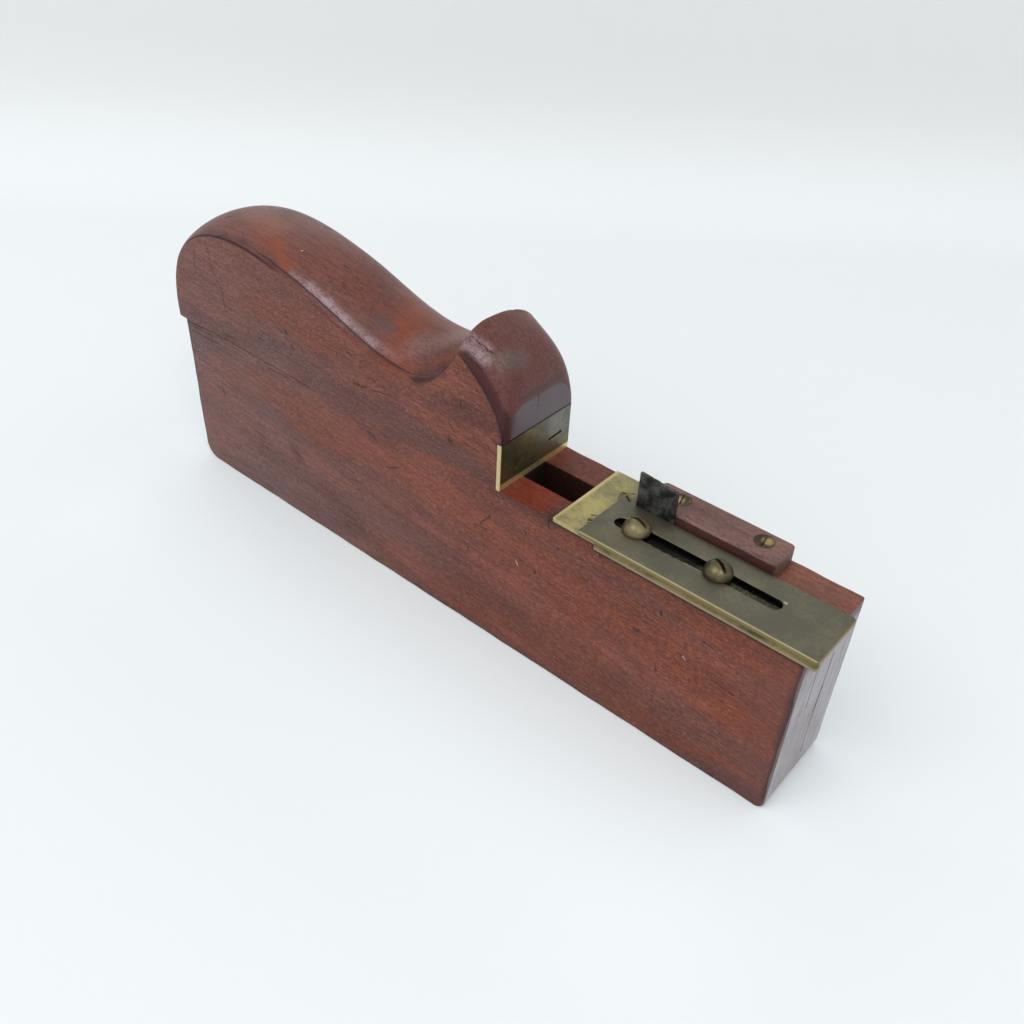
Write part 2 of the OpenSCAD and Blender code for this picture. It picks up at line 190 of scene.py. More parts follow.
class Shader:
    # a material with its nodes, and short calls for the nodes used here
    def __init__(self, name):
        self.material = bpy.data.materials.new(name)
        self.material.use_nodes = True
        self.tree = self.material.node_tree
        self.base = self.tree.nodes["Principled BSDF"]
        self.coords = self.node("ShaderNodeTexCoord").outputs["Object"]
        self.colour = None

    def node(self, kind, sockets=None, **settings):
        # a new node with its settings, and its sockets fed by name or number
        made = self.tree.nodes.new(kind)
        for key, value in settings.items():
            setattr(made, key, value)
        for key, value in (sockets or {}).items():
            self.feed(made.inputs[key], value)
        return made

    def feed(self, socket, value):
        if isinstance(value, bpy.types.NodeSocket):
            self.tree.links.new(value, socket)
        elif isinstance(value, (tuple, list)) and len(value) == 3 and socket.type == "RGBA":
            socket.default_value = (*value, 1)
        else:
            socket.default_value = value

    def dress(self, **settings):
        # feeds the main shader: a name such as coatWeight stands for its socket Coat Weight
        for key, value in settings.items():
            words = "".join(" " + c if c.isupper() else c for c in key).title().replace("Ior", "IOR")
            self.feed(self.base.inputs[words], value)

    def mapped(self, scale, turn=(0, 0, 0), shift=(0, 0, 0), source=None):
        # the object's coordinates or another source, stretched, turned (in degrees) and shifted
        sockets = {"Vector": source or self.coords, "Scale": scale, "Location": shift}
        return self.node("ShaderNodeMapping", {**sockets, "Rotation": np.radians(turn)}).outputs["Vector"]

    def noise(self, scale, detail=2.0, roughness=0.5, distortion=0.0, **mapping):
        sockets = {"Vector": self.mapped(scale, **mapping), "Scale": 1.0, "Detail": detail,
                   "Roughness": roughness, "Distortion": distortion}
        return self.node("ShaderNodeTexNoise", sockets).outputs["Fac"]

    def step(self, value, low, high, to=(0.0, 1.0)):
        # passes smoothly from one level to the other between low and high
        sockets = {"Value": value, "From Min": low, "From Max": high, "To Min": to[0], "To Max": to[1]}
        return self.node("ShaderNodeMapRange", sockets, interpolation_type="SMOOTHSTEP").outputs["Result"]

    def math(self, operation, *values):
        return self.node("ShaderNodeMath", dict(enumerate(values)), operation=operation).outputs[0]

    def times(self, a, b):
        return self.math("MULTIPLY", a, b)

    def plus(self, a, b):
        return self.math("ADD", a, b)

    def minus(self, a, b):
        return self.math("SUBTRACT", a, b)

    def vector(self, operation, a, b=None):
        made = self.node("ShaderNodeVectorMath", operation=operation)
        self.feed(made.inputs[0], a)
        if b is not None:
            self.feed(made.inputs["Scale"] if operation == "SCALE" else made.inputs[1], b)
        return made.outputs["Value"] if operation in ("LENGTH", "DOT_PRODUCT") else made.outputs["Vector"]

    def blend(self, factor, a, b):
        # the mix node's colour sockets are its inputs 6 and 7 and its output 2
        return self.node("ShaderNodeMix", {"Factor": factor, 6: a, 7: b}, data_type="RGBA").outputs[2]

    def tint(self, weight, tone):
        # lays a tone over the colour so far
        self.colour = self.blend(weight, self.colour, tone)

    def split(self):
        return self.node("ShaderNodeSeparateXYZ", {0: self.coords}).outputs

    def scratch(self, start, end, width, source=None, soft=0.35):
        # 1 on the line from start to end (mm), and 0 at the width from the line's nearest point
        start, end = np.array(start, float) * mm, np.array(end, float) * mm
        along = end - start
        offset = self.vector("SUBTRACT", source or self.coords, tuple(start))
        share = self.vector("DOT_PRODUCT", offset, tuple(along / (along @ along)))
        share = self.math("MINIMUM", self.math("MAXIMUM", share, 0.0), 1.0)
        foot = self.vector("SCALE", tuple(along), share)
        gap = self.vector("LENGTH", self.vector("SUBTRACT", offset, foot))
        return self.step(gap, width * mm * soft, width * mm, (1.0, 0.0))

    def plateau(self, value, a, b, c, d):
        # rises from 0 to 1 between a and b, and falls again between c and d (all in mm)
        return self.times(self.step(value, a * mm, b * mm), self.step(value, c * mm, d * mm, (1.0, 0.0)))

    def between(self, value, low, high, soft=0.1):
        return self.plateau(value, low - soft, low + soft, high - soft, high + soft)

    def region(self, sides, soft=0.1):
        # 1 inside a box: sides gives (low, high) in mm for each axis, and None is an open end
        far = 900
        mask = None
        for value, axis in zip(self.split(), "xyz"):
            low, high = sides.get(axis, (None, None))
            if (low, high) != (None, None):
                one = self.between(value, -far if low is None else low, far if high is None else high, soft)
                mask = self.times(mask, one) if mask else one
        return mask

    def mask(self, name):
        return self.node("ShaderNodeAttribute", attribute_name=name).outputs["Fac"]

    def most(self, *values):
        whole = values[0]
        for value in values[1:]:
            whole = self.math("MAXIMUM", whole, value)
        return whole

    def raised(self, height, distance, strength):
        sockets = {"Height": height, "Distance": distance, "Strength": strength}
        return self.node("ShaderNodeBump", sockets).outputs["Normal"]


woodLook = dict(
    pale=(0.25, 0.065, 0.036),
    deep=(0.088, 0.02, 0.013),
    orange=(0.235, 0.05, 0.014),
    light=(0.32, 0.15, 0.115),
    pore=(0.012, 0.004, 0.004),
    haze=(0.1, 0.05, 0.047),
    grainTilt=3.5,
    roughness=(0.42, 0.62),
    coat=0.06,
)


def makeWood(name, look, marks=None, boxes=()):
    # layers from clouds and streaks along the grain to fine pores; marks are what only the stock has
    s = Shader(name)
    x, _, z = s.split()
    turned = s.mapped((1, 1, 1), turn=(0, -look["grainTilt"], 0))
    wander = s.noise((14, 30, 30), detail=2)
    cloud = s.noise((9, 50, 50), source=turned, detail=4, roughness=0.6, distortion=0.6)
    streaks = s.noise((75, 950, 950), source=turned, detail=4, roughness=0.7)
    mottle = s.noise((620, 1900, 1900), source=turned, detail=2, roughness=0.7)
    ticks = s.noise((480, 2000, 2000), shift=(3, 1, 2), source=turned, detail=2, roughness=0.6)
    hairs = s.noise((55, 1500, 1500), shift=(5, 4, 2), source=turned, detail=2, roughness=0.6)
    specks = s.noise((800, 1200, 1200), shift=(1, 2, 3), detail=1)
    field = s.noise((25, 75, 75), shift=(2, 2, 2), detail=2)
    s.colour = s.blend(s.step(cloud, 0.38, 0.64), look["pale"], look["deep"])
    s.tint(s.step(wander, 0.46, 0.7, (0.0, 0.6)), look["orange"])
    if marks:
        # a grey bloom at the heel, then bands along the stock
        bloom = s.times(s.step(x, -0.15, 0.03, (0.82, 0.0)), s.step(wander, 0.3, 0.62, (1.0, 0.6)))
        s.tint(bloom, marks["bloom"])
        for key in ("haze", "orange"):
            for height, slope, half, weight, start, end in marks[key + "Bands"]:
                level = s.minus(z, s.math("MULTIPLY_ADD", x, slope, height * mm))
                level = s.plus(level, s.times(s.minus(wander, 0.5), 0.03))
                near = s.step(s.math("ABSOLUTE", level), half * mm * 0.3, half * mm, (weight, 0.0))
                near = s.times(near, s.between(x, start, end, 18))
                near = s.times(near, s.step(mottle, 0.3, 0.55, (0.6, 1.0)))
                s.tint(near, look[key])
        polish = s.mask("polish")
        s.tint(s.times(polish, 0.45), marks["gripTone"])
        plum = s.times(polish, s.step(x, 0.002, 0.014))
        s.tint(s.times(plum, s.step(cloud, 0.3, 0.7, (0.75, 0.45))), marks["plum"])
    s.tint(s.step(streaks, 0.42, 0.62, (0.0, 0.6)), look["deep"])
    calm = s.step(s.mask("polish"), 0.0, 1.0, (1.0, 0.45))
    s.tint(s.times(s.step(mottle, 0.36, 0.5, (0.7, 0.0)), calm), look["deep"])
    s.tint(s.times(s.step(mottle, 0.52, 0.68, (0.0, 0.4)), calm), look["light"])
    pores = s.times(s.step(ticks, 0.56, 0.66), s.step(field, 0.36, 0.6, (0.35, 1.0)))
    pores = s.most(pores, s.times(s.step(hairs, 0.58, 0.68), s.step(field, 0.42, 0.6, (0.0, 0.8))))
    pores = s.most(pores, s.step(specks, 0.7, 0.78, (0.0, 0.8)))
    height = s.minus(s.times(streaks, 0.3), pores)
    if marks:
        pores = s.times(pores, calm)
        # the facet over the plate gets a painted grey reflection
        s.tint(s.times(s.mask("facet"), 0.92), marks["facet"])
        for start, end, width, tone, weight in marks["paint"]:
            spread = s.times(s.scratch(start, end, width, soft=0.0), s.step(mottle, 0.36, 0.56, (0.35, 1.0)))
            s.tint(s.times(spread, weight), tone)
        # grime and painted shade along the grip's edges: dark red where thin, black where thick
        grime = s.mask("grime")
        s.tint(s.step(grime, 0.05, 0.4, (0.0, 0.85)), marks["ember"])
        s.tint(s.step(grime, 0.5, 0.85, (0.0, 0.9)), look["pore"])
    s.tint(s.times(pores, 0.6), look["pore"])
    for sides, soft, tone, weight in boxes:
        s.tint(s.times(s.region(sides, soft), weight), tone)
    if marks:
        jitter = s.node("ShaderNodeTexNoise", {"Vector": s.coords, "Scale": 700})
        offset = s.vector("SCALE", s.vector("SUBTRACT", jitter.outputs["Color"], (0.5, 0.5, 0.5)), 0.0012)
        shaken = s.vector("ADD", s.coords, offset)
        lines = s.most(*[s.scratch(a, b, w, shaken) for a, b, w in marks["lines"]])
        s.tint(s.times(lines, 0.72), look["pore"])
        height = s.minus(height, s.times(lines, 1.5))
        nicks = s.most(*[s.scratch(a, b, w, shaken) for a, b, w in marks["paleNicks"]])
        s.tint(nicks, marks["bare"])
    rough = s.plus(s.times(wander, 0.4), s.times(mottle, 0.6))
    rough = s.step(rough, 0.3, 0.7, look["roughness"])
    if marks:
        rough = s.minus(rough, s.times(polish, 0.12))
    s.dress(baseColor=s.colour, roughness=rough, normal=s.raised(height, 0.3 * mm, 0.6),
            specularIorLevel=0.28, coatWeight=look["coat"], coatRoughness=0.3)
    return s.material


endLook = dict(pale=(0.395, 0.37, 0.39), deep=(0.26, 0.225, 0.235), crack=(0.02, 0.012, 0.012),
               dirt=(0.07, 0.035, 0.03))


def makeEndGrain(name, look, lines):
    # pale sawn wood with upright streaks, darker near the deck and along the near edge, and its cracks
    s = Shader(name)
    pores = s.noise((700, 1500, 1500), detail=2)
    upright = s.noise((60, 900, 70), turn=(3, 0, 0), detail=3, roughness=0.6)
    cloud = s.noise((60, 60, 60), detail=3)
    s.colour = s.blend(s.step(upright, 0.42, 0.68, (0.0, 0.7)), look["pale"], look["deep"])
    s.tint(s.step(cloud, 0.45, 0.7, (0.0, 0.5)), look["deep"])
    s.tint(s.step(pores, 0.6, 0.75, (0, 0.45)), look["crack"])
    dirt = s.most(s.region({"z": (61, None)}, 3), s.region({"y": (None, -17.4)}, 0.35))
    s.tint(s.times(dirt, 0.8), look["dirt"])
    marks = s.most(*[s.scratch(a, b, w) for a, b, w in lines])
    s.tint(marks, look["crack"])
    height = s.minus(s.times(pores, -0.6), marks)
    s.dress(baseColor=s.colour, roughness=0.6, normal=s.raised(height, 0.3 * mm, 0.4))
    return s.material


brassLook = dict(
    bright=(0.62, 0.47, 0.17),
    dull=(0.34, 0.28, 0.13),
    tarnish=(0.09, 0.08, 0.055),
    roughness=(0.3, 0.5),
    cover=0.5,
    lines=0.3,
    edge=0.6,
    edgeReach=0.3,
    boxes=(),
    spots=(),
)


def makeBrass(name, **changes):
    # bright and dull metal under a cloudy tarnish that is worn off the edges, then boxes and spots
    look = {**brassLook, **changes}
    s = Shader(name)
    cloud = s.noise((75, 75, 75), shift=(1, 2, 3), detail=5, roughness=0.6, distortion=0.3)
    grit = s.noise((900, 900, 900), detail=3, roughness=0.65)
    brushed = s.noise((70, 1500, 1500), detail=3, roughness=0.6)
    mixed = s.plus(cloud, s.times(s.minus(grit, 0.5), 0.35))
    cover = s.step(mixed, 0.55 - 0.5 * look["cover"], 0.9 - 0.5 * look["cover"])
    s.colour = s.blend(s.step(mixed, 0.4, 0.62), look["bright"], look["dull"])
    s.tint(s.step(brushed, 0.4, 0.7, (0.0, look["lines"])), look["dull"])
    edges = s.node("ShaderNodeBevel", {"Radius": look["edgeReach"] * mm}, samples=6)
    plain = s.node("ShaderNodeNewGeometry").outputs["Normal"]
    worn = s.step(s.vector("DOT_PRODUCT", edges.outputs["Normal"], plain), 0.86, 0.985, (look["edge"], 0.0))
    cover = s.times(cover, s.minus(1.0, worn))
    s.tint(cover, look["tarnish"])
    for sides, soft, tone, weight in look["boxes"]:
        part = s.times(s.region(sides, soft), s.step(grit, 0.3, 0.5, (0.75, 1.0)))
        s.tint(s.times(part, weight), tone)
    for start, end, width, tone, weight in look["spots"]:
        part = s.times(s.scratch(start, end, width), s.step(grit, 0.35, 0.6, (0.5, 1.0)))
        s.tint(s.times(part, weight), tone)
    rough = s.step(s.plus(cover, s.times(grit, 0.4)), 0.0, 1.2, look["roughness"])
    height = s.plus(s.times(grit, 0.5), brushed)
    s.dress(baseColor=s.colour, metallic=0.9, roughness=rough, normal=s.raised(height, 0.04 * mm, 0.35))
    return s.material


steelLook = dict(bright=(0.155, 0.155, 0.155), dark=(0.03, 0.03, 0.028), roughness=(0.35, 0.6))


def makeSteel(name, look):
    # dark steel with blotches and pits
    s = Shader(name)
    blotch = s.noise((260, 260, 260), detail=4, roughness=0.7)
    pits = s.noise((1100, 1100, 1100), detail=2)
    s.colour = s.blend(s.step(blotch, 0.35, 0.68), look["dark"], look["bright"])
    s.tint(s.step(pits, 0.55, 0.7, (0, 0.8)), look["dark"])
    s.dress(baseColor=s.colour, metallic=0.8, roughness=s.step(blotch, 0.3, 0.7, look["roughness"]),
            normal=s.raised(s.times(pits, -1.0), 0.2 * mm, 0.5))
    return s.material


stock = dict(
    length=281.0, width=36.0, deck=66.5, deckLength=112.0, heelRadius=7.0, toeRadius=3.0,
    heelOverhang=4.2, heelFoot=5.0, humpX=39.5, humpRise=44.5, saddleBack=43.3, saddleRise=24.0,
    hornBack=19.3, hornRise=43.9, browRise=19.0,
    swell=(3.6, 5.3, 10.3, 12.0, 8.0, 10.4), swellAngle=(180, 90, 72, 85, 83, 90),
    roundRadius=19.5, hornLean=0.3, browPower=8.0, edge=0.55, gripEdge=0.3, plateGap=0.12,
    plateThickness=1.6, plateHeight=17.8,
    wellLength=29.0, wellWidth=12.0, wellDepth=22.0,
    kerf=(67.05, 81.45, 3.8, 4.95, 28.0),
    # points for each curve of the grip's lines and for the arch across it, and that arch's room at the sides
    steps=56, archSteps=60, archRoom=1.1,
    # for both lines of the grip: angles into and out of each place, and fullness of each curve's handles
    sideIn=(90, 0, -18, 0, 64, -86), sideOut=(90, 0, -18, 0, -34, -90),
    sideFullness=((0.41, 0.49), (0.32, 0.37), (0.33, 0.35), (0.4, 0.31), (0.39, 0.31)),
    middleIn=(90, 0, -18, 0, 59, -90), middleOut=(90, 0, -18, 0, -18, -90),
    middleFullness=((0.4, 0.48), (0.22, 0.36), (0.35, 0.38), (0.43, 0.24), (0.34, 0.48)),
    slopeShare=(0.52, 0.49),
    # grooves of the bead beside the near edge (distance from the middle, half width, depth), and its rows
    bead=((16.6, 0.35, 0.2), (17.3, 0.25, 0.1)), beadRows=(-17.2, -15.4, 0.15),
    # grime and painted shade along the bead, and painted shade along the near edge of hump and saddle:
    # (distance from the middle, half width, weight)
    beadGrimeAndShade=((16.6, 0.26, 0.85), (17.0, 0.35, 0.28)),
    humpShade=(17.8, 0.35, 0.9),
    saddleShade=(17.4, 0.6, 0.8),
    # how far down the facet over the plate its points lie, as shares
    facetDown=(0.03, 0.15, 0.3, 0.5, 0.75, 0.95),
    # edges: unevenness as waves (length, height), radius beside the plate,
    # and on the deck the reach from the fence and the least share
    edgeWaves=((37, 0.3), (13, 0.2), (5.3, 0.15)), plateEdge=0.06, deckEdge=(5, 0.12),
    # the grip's unevenness, and the painted shade of the horn's near strip and of its rim
    gripWaves=((61, 0.12), (23, 0.05)), gripWavesAcross=((17, 0.05),), hornShade=(0.42, 0.3),
    # nicks in the grip: x, y, length, width, depth
    nicks=((-84.2, 12.6, 1.8, 2.4, 0.45), (-62.7, 12.0, 1.8, 1.6, 0.3), (10.6, 7.5, 1.3, 2.2, 0.45),
           (-116, -8, 1.6, 0.8, 0.25)),
)

heelX, toeX = -stock["length"] / 2, stock["length"] / 2
fenceX = toeX - stock["deckLength"]
halfWidth = stock["width"] / 2
deckZ = stock["deck"]


def gripLines(p):
    # the grip's outline at its sides, and its crown: the same places, moved out by the swell along its angles
    hump = np.array([heelX + p["humpX"], deckZ + p["humpRise"]])
    saddle = np.array([fenceX - p["saddleBack"], deckZ + p["saddleRise"]])
    slope = hump + (saddle - hump) * p["slopeShare"]
    heel = np.array([heelX - p["heelOverhang"], deckZ + p["heelFoot"]])
    horn = np.array([fenceX - p["hornBack"], deckZ + p["hornRise"]])
    brow = np.array([fenceX, deckZ + p["browRise"]])
    side = [heel, hump, slope, saddle, horn, brow]
    swell = zip(side, p["swell"], p["swellAngle"])
    middle = [place + amount * heading(angle) for place, amount, angle in swell]
    return [lineThrough(places, p[key + "In"], p[key + "Out"], p[key + "Fullness"], p["steps"])
            for key, places in (("side", side), ("middle", middle))]


def stockLoop(p):
    # the side view as a clockwise loop, how far each of its points swells towards the crown, its station,
    # and the loop's parts: grip, facet over the plate, plate rebate, deck
    sideLine, middleLine = gripLines(p)
    steps = p["steps"]
    foot = sideLine[0] - [0, p["heelFoot"]]
    # the flat facet over the plate fades from the brow's arch to the straight top of the plate
    plateTop = deckZ + p["plateHeight"] + p["plateGap"]
    down = np.array(p["facetDown"])[:, None]
    facetSide = sideLine[-1] + down * (np.array([fenceX, plateTop]) - sideLine[-1])
    # below it come plate rebate, deck, toe, sole and heel
    rebateX = fenceX - p["plateThickness"]
    under = softened([(fenceX, plateTop, 0), (rebateX, plateTop, 0), (rebateX, deckZ, 0), (toeX, deckZ, 0.7),
                      (toeX, 0, p["toeRadius"]), (heelX, 0, p["heelRadius"]), (heelX, deckZ, 0)],
                     4.0, closed=False)
    # the deck gets a doubled column of points at each end of the well and of the kerf
    ends = [fenceX, fenceX + p["wellLength"], *p["kerf"][:2]]
    isDeck = (np.abs(under[:, 1] - deckZ) < tiny) & (under[:, 0] > rebateX + tiny)
    first = int(np.argmax(isDeck))
    last = len(isDeck) - 1 - int(np.argmax(isDeck[::-1]))
    deckX = np.unique(np.concatenate([under[first:last + 1, 0], ends]))
    doubled = np.sort(np.concatenate([deckX, ends]))
    deckPoints = np.stack([doubled, np.full(len(doubled), deckZ)], 1)
    side = np.vstack([[foot], sideLine, facetSide, under[:first], deckPoints, under[last + 1:]])
    lengths = [len(sideLine), len(facetSide), first, len(doubled)]
    grip, facet, rebate, deck = [slice(1 + sum(lengths[:k]), 1 + sum(lengths[:k + 1])) for k in range(4)]
    swell = np.zeros((len(side), 2))
    swell[0] = p["swell"][0] * heading(180)
    swell[grip] = middleLine - sideLine
    swell[facet] = swell[facet.start - 1] * (1 - down)
    # the horn's ridge is a little rounded
    ridge = 1 + 4 * steps
    for _ in range(3):
        for line in (side, swell):
            before, here, after = (line[ridge - 4 + k:ridge + 5 + k].copy() for k in (-1, 0, 1))
            line[ridge - 4:ridge + 5] = (before + 2 * here + after) / 4
    # station counts the curves of the grip: 1 the hump, 3 the saddle, 4 the horn's ridge, 5 the brow
    station = np.zeros(len(side))
    station[grip] = np.arange(len(sideLine)) / steps
    station[facet] = 5
    return side, swell, station, (grip, facet, rebate, deck)


def stockAcross(p, side, parts, cuts):
    # places across at each point of the loop, and how far each lies in from the surface: a quarter circle
    # at each edge, and between them the arch, with doubled rows at the sides of the well and of the kerf
    grip, facet, rebate, deck = parts
    edge = np.full(len(side), p["edge"])
    edge[grip] = p["gripEdge"]
    edge *= 1 + ripple(side[:, 0] + side[:, 1], 3.0, *p["edgeWaves"])
    # the edges are crisp beside the plate, and soften again along the deck
    edge[facet] = p["gripEdge"] * (1 - 0.8 * np.array(p["facetDown"]))
    edge[rebate] = p["plateEdge"]
    reach, least = p["deckEdge"]
    edge[deck] *= np.clip((side[deck, 0] - fenceX) / reach, least, 1)
    turn = np.linspace(0, math.pi / 2, 5)
    arch = halfWidth * -np.cos(np.linspace(0, math.pi, p["archSteps"]))
    arch = arch[np.abs(arch) < halfWidth - p["archRoom"]]
    beadFrom, beadTo, beadStep = p["beadRows"]
    rows = np.unique(np.concatenate([arch[arch > beadTo], np.arange(beadFrom, beadTo, beadStep), cuts]))
    rows = np.sort(np.concatenate([rows, cuts]))
    away, into = np.outer(edge, 1 - np.cos(turn)), np.outer(edge, 1 - np.sin(turn))
    y = np.hstack([away - halfWidth, np.tile(rows, (len(side), 1)), halfWidth - away[:, ::-1]])
    inset = np.hstack([into, np.zeros((len(side), len(rows))), into[:, ::-1]])
    return y, inset


def stockMasks(p, y, share, station, along, parts):
    # polish all over the grip; grime and painted shade (red when thin, black when thick) in the bead, and
    # painted shade along the near edges of hump, saddle and horn; and the facet's painted grey reflection,
    # which fades at its near end
    grip, facet = parts[:2]
    onGrip, onFacet = np.zeros((2, len(y), 1))
    onGrip[grip.start:facet.stop] = 1
    onFacet[facet] = 1
    polish = ramp(share, 0, 0.1) * onGrip
    u, at = y / halfWidth, station[:, None]
    wide = 0.9 - 0.14 * ramp(at, 4.75, 5.0)
    # painted shade: a dark red strip beside the horn's near edge, and a black line at its rim
    hornStrip = p["hornShade"][0] * ramp(-u - wide, -0.045, 0.045)
    hornRim = p["hornShade"][1] * ramp(-u - 0.3 * wide, 0.698, 0.718)
    grime = (hornStrip + hornRim) * ramp(at, 3.96, 4.1)
    # painted shade along the near edges of hump and saddle
    hump = ramp(at, 0.45, 0.65) * ramp(at, 1.6, 1.3)
    saddle = ramp(at, 3.0, 3.15) * ramp(at, 4.0, 3.85)
    strips = [(along, strip) for strip in p["beadGrimeAndShade"]]
    strips += [(hump, p["humpShade"]), (saddle, p["saddleShade"])]
    for reach, (place, half, weight) in strips:
        grime = np.maximum(grime, weight * reach * bump(np.abs(y + place), half))
    grime *= onGrip
    # the near face shares the first column of points
    grime[:, 0] = 0
    # the facet's painted grey reflection, fading towards its near end
    facetSheen = onFacet * polish * ramp(y, -15, -11)
    return dict(polish=polish.ravel(), grime=grime.ravel(), facet=facetSheen.ravel())


def makeStock(p, material):
    # one grid: its columns run round the side view, and its rows across from the near to the far side
    side, swell, station, parts = stockLoop(p)
    kerfX, kerfY, kerfDepth = p["kerf"][:2], p["kerf"][2:4], p["kerf"][4]
    wellX, wellY = (fenceX, fenceX + p["wellLength"]), (-p["wellWidth"] / 2, p["wellWidth"] / 2)
    y, inset = stockAcross(p, side, parts, [*wellY, *kerfY])
    # rounding across: a circular arch whose crown leans to the near side by the lean
    lean = p["hornLean"] * ramp(station, 3, 4)[:, None]
    u = y / halfWidth
    v = (u + lean) / (1 + lean * np.sign(u + lean))
    low = math.sqrt(p["roundRadius"] ** 2 - halfWidth ** 2)
    share = ((np.sqrt(p["roundRadius"] ** 2 - (v * halfWidth) ** 2) - low) / (p["roundRadius"] - low)).clip(0)
    # the far half of the horn's front is fuller than the circle: 1 - v^power
    full = ramp(station, 4.05, 5)[:, None]
    share = np.where(v > 0, (1 - full) * share + full * (1 - np.abs(v) ** p["browPower"]), share)
    # a fine bead beside the near edge, from the hump down to the saddle
    along = (ramp(station, 1.15, 1.45) * ramp(station, 3.2, 2.9))[:, None]
    groove = sum(deep * bump(np.abs(y + place), wide) for place, wide, deep in p["bead"])
    outward = outwardOf(side)
    depth = inset + groove * along
    xz = side[:, None] + swell[:, None] * share[..., None] - outward[:, None] * depth[..., None]
    x, z = xz[..., 0], xz[..., 1]
    # hand-worn unevenness of the grip, and its nicks
    alive = ramp(np.linalg.norm(swell, axis=1), 0, 3)[:, None] * share
    z += alive * ripple(x + 0.4 * y, 1.3, *p["gripWaves"])
    z += alive * ripple(y - 0.2 * x, 4.0, *p["gripWavesAcross"])
    for nickX, nickY, long, wide, deep in p["nicks"]:
        z -= deep * bump(np.hypot((x - nickX) / long, (y - nickY) / wide), 1.0) * (z > deckZ + 15)
    # pits: the well and the kerf are the same grid, lowered inside their doubled rows and columns
    deck = parts[3]
    flatRow = np.abs(inset).sum(0) == 0
    for (x0, x1), (y0, y1), drop in ((wellX, wellY, p["wellDepth"]), (kerfX, kerfY, kerfDepth)):
        inside = (side[deck, 0] >= x0 - tiny) & (side[deck, 0] <= x1 + tiny)
        columns = deck.start + np.flatnonzero(inside)[1:-1]
        rows = np.flatnonzero(flatRow & (y[0] >= y0 - tiny) & (y[0] <= y1 + tiny))[1:-1]
        z[np.ix_(columns, rows)] -= drop
    n, cols = y.shape
    near = [i * cols for i in range(n)][::-1]
    far = [i * cols + cols - 1 for i in range(n)]
    faces = gridFaces(n, cols, wrapRows=True) + [near, far]
    # end grain on the toe and on the heel's wall
    middle = (side + np.roll(side, -1, 0)) / 2
    atEnds = (middle[:, 0] > toeX - 1) | (middle[:, 0] < heelX + 1)
    flatEnd = (np.abs(outward[:, 0]) > 0.9) & atEnds & (middle[:, 1] < deckZ)
    indices = np.repeat(flatEnd.astype(np.int32), cols - 1).tolist() + [0, 0]
    makePiece("stockBody", np.stack([x, y, z], -1).reshape(-1, 3), faces, "stock", material,
              sharp=38, replaces=["stock"], indices=indices,
              masks=stockMasks(p, y, share, station, along, parts))
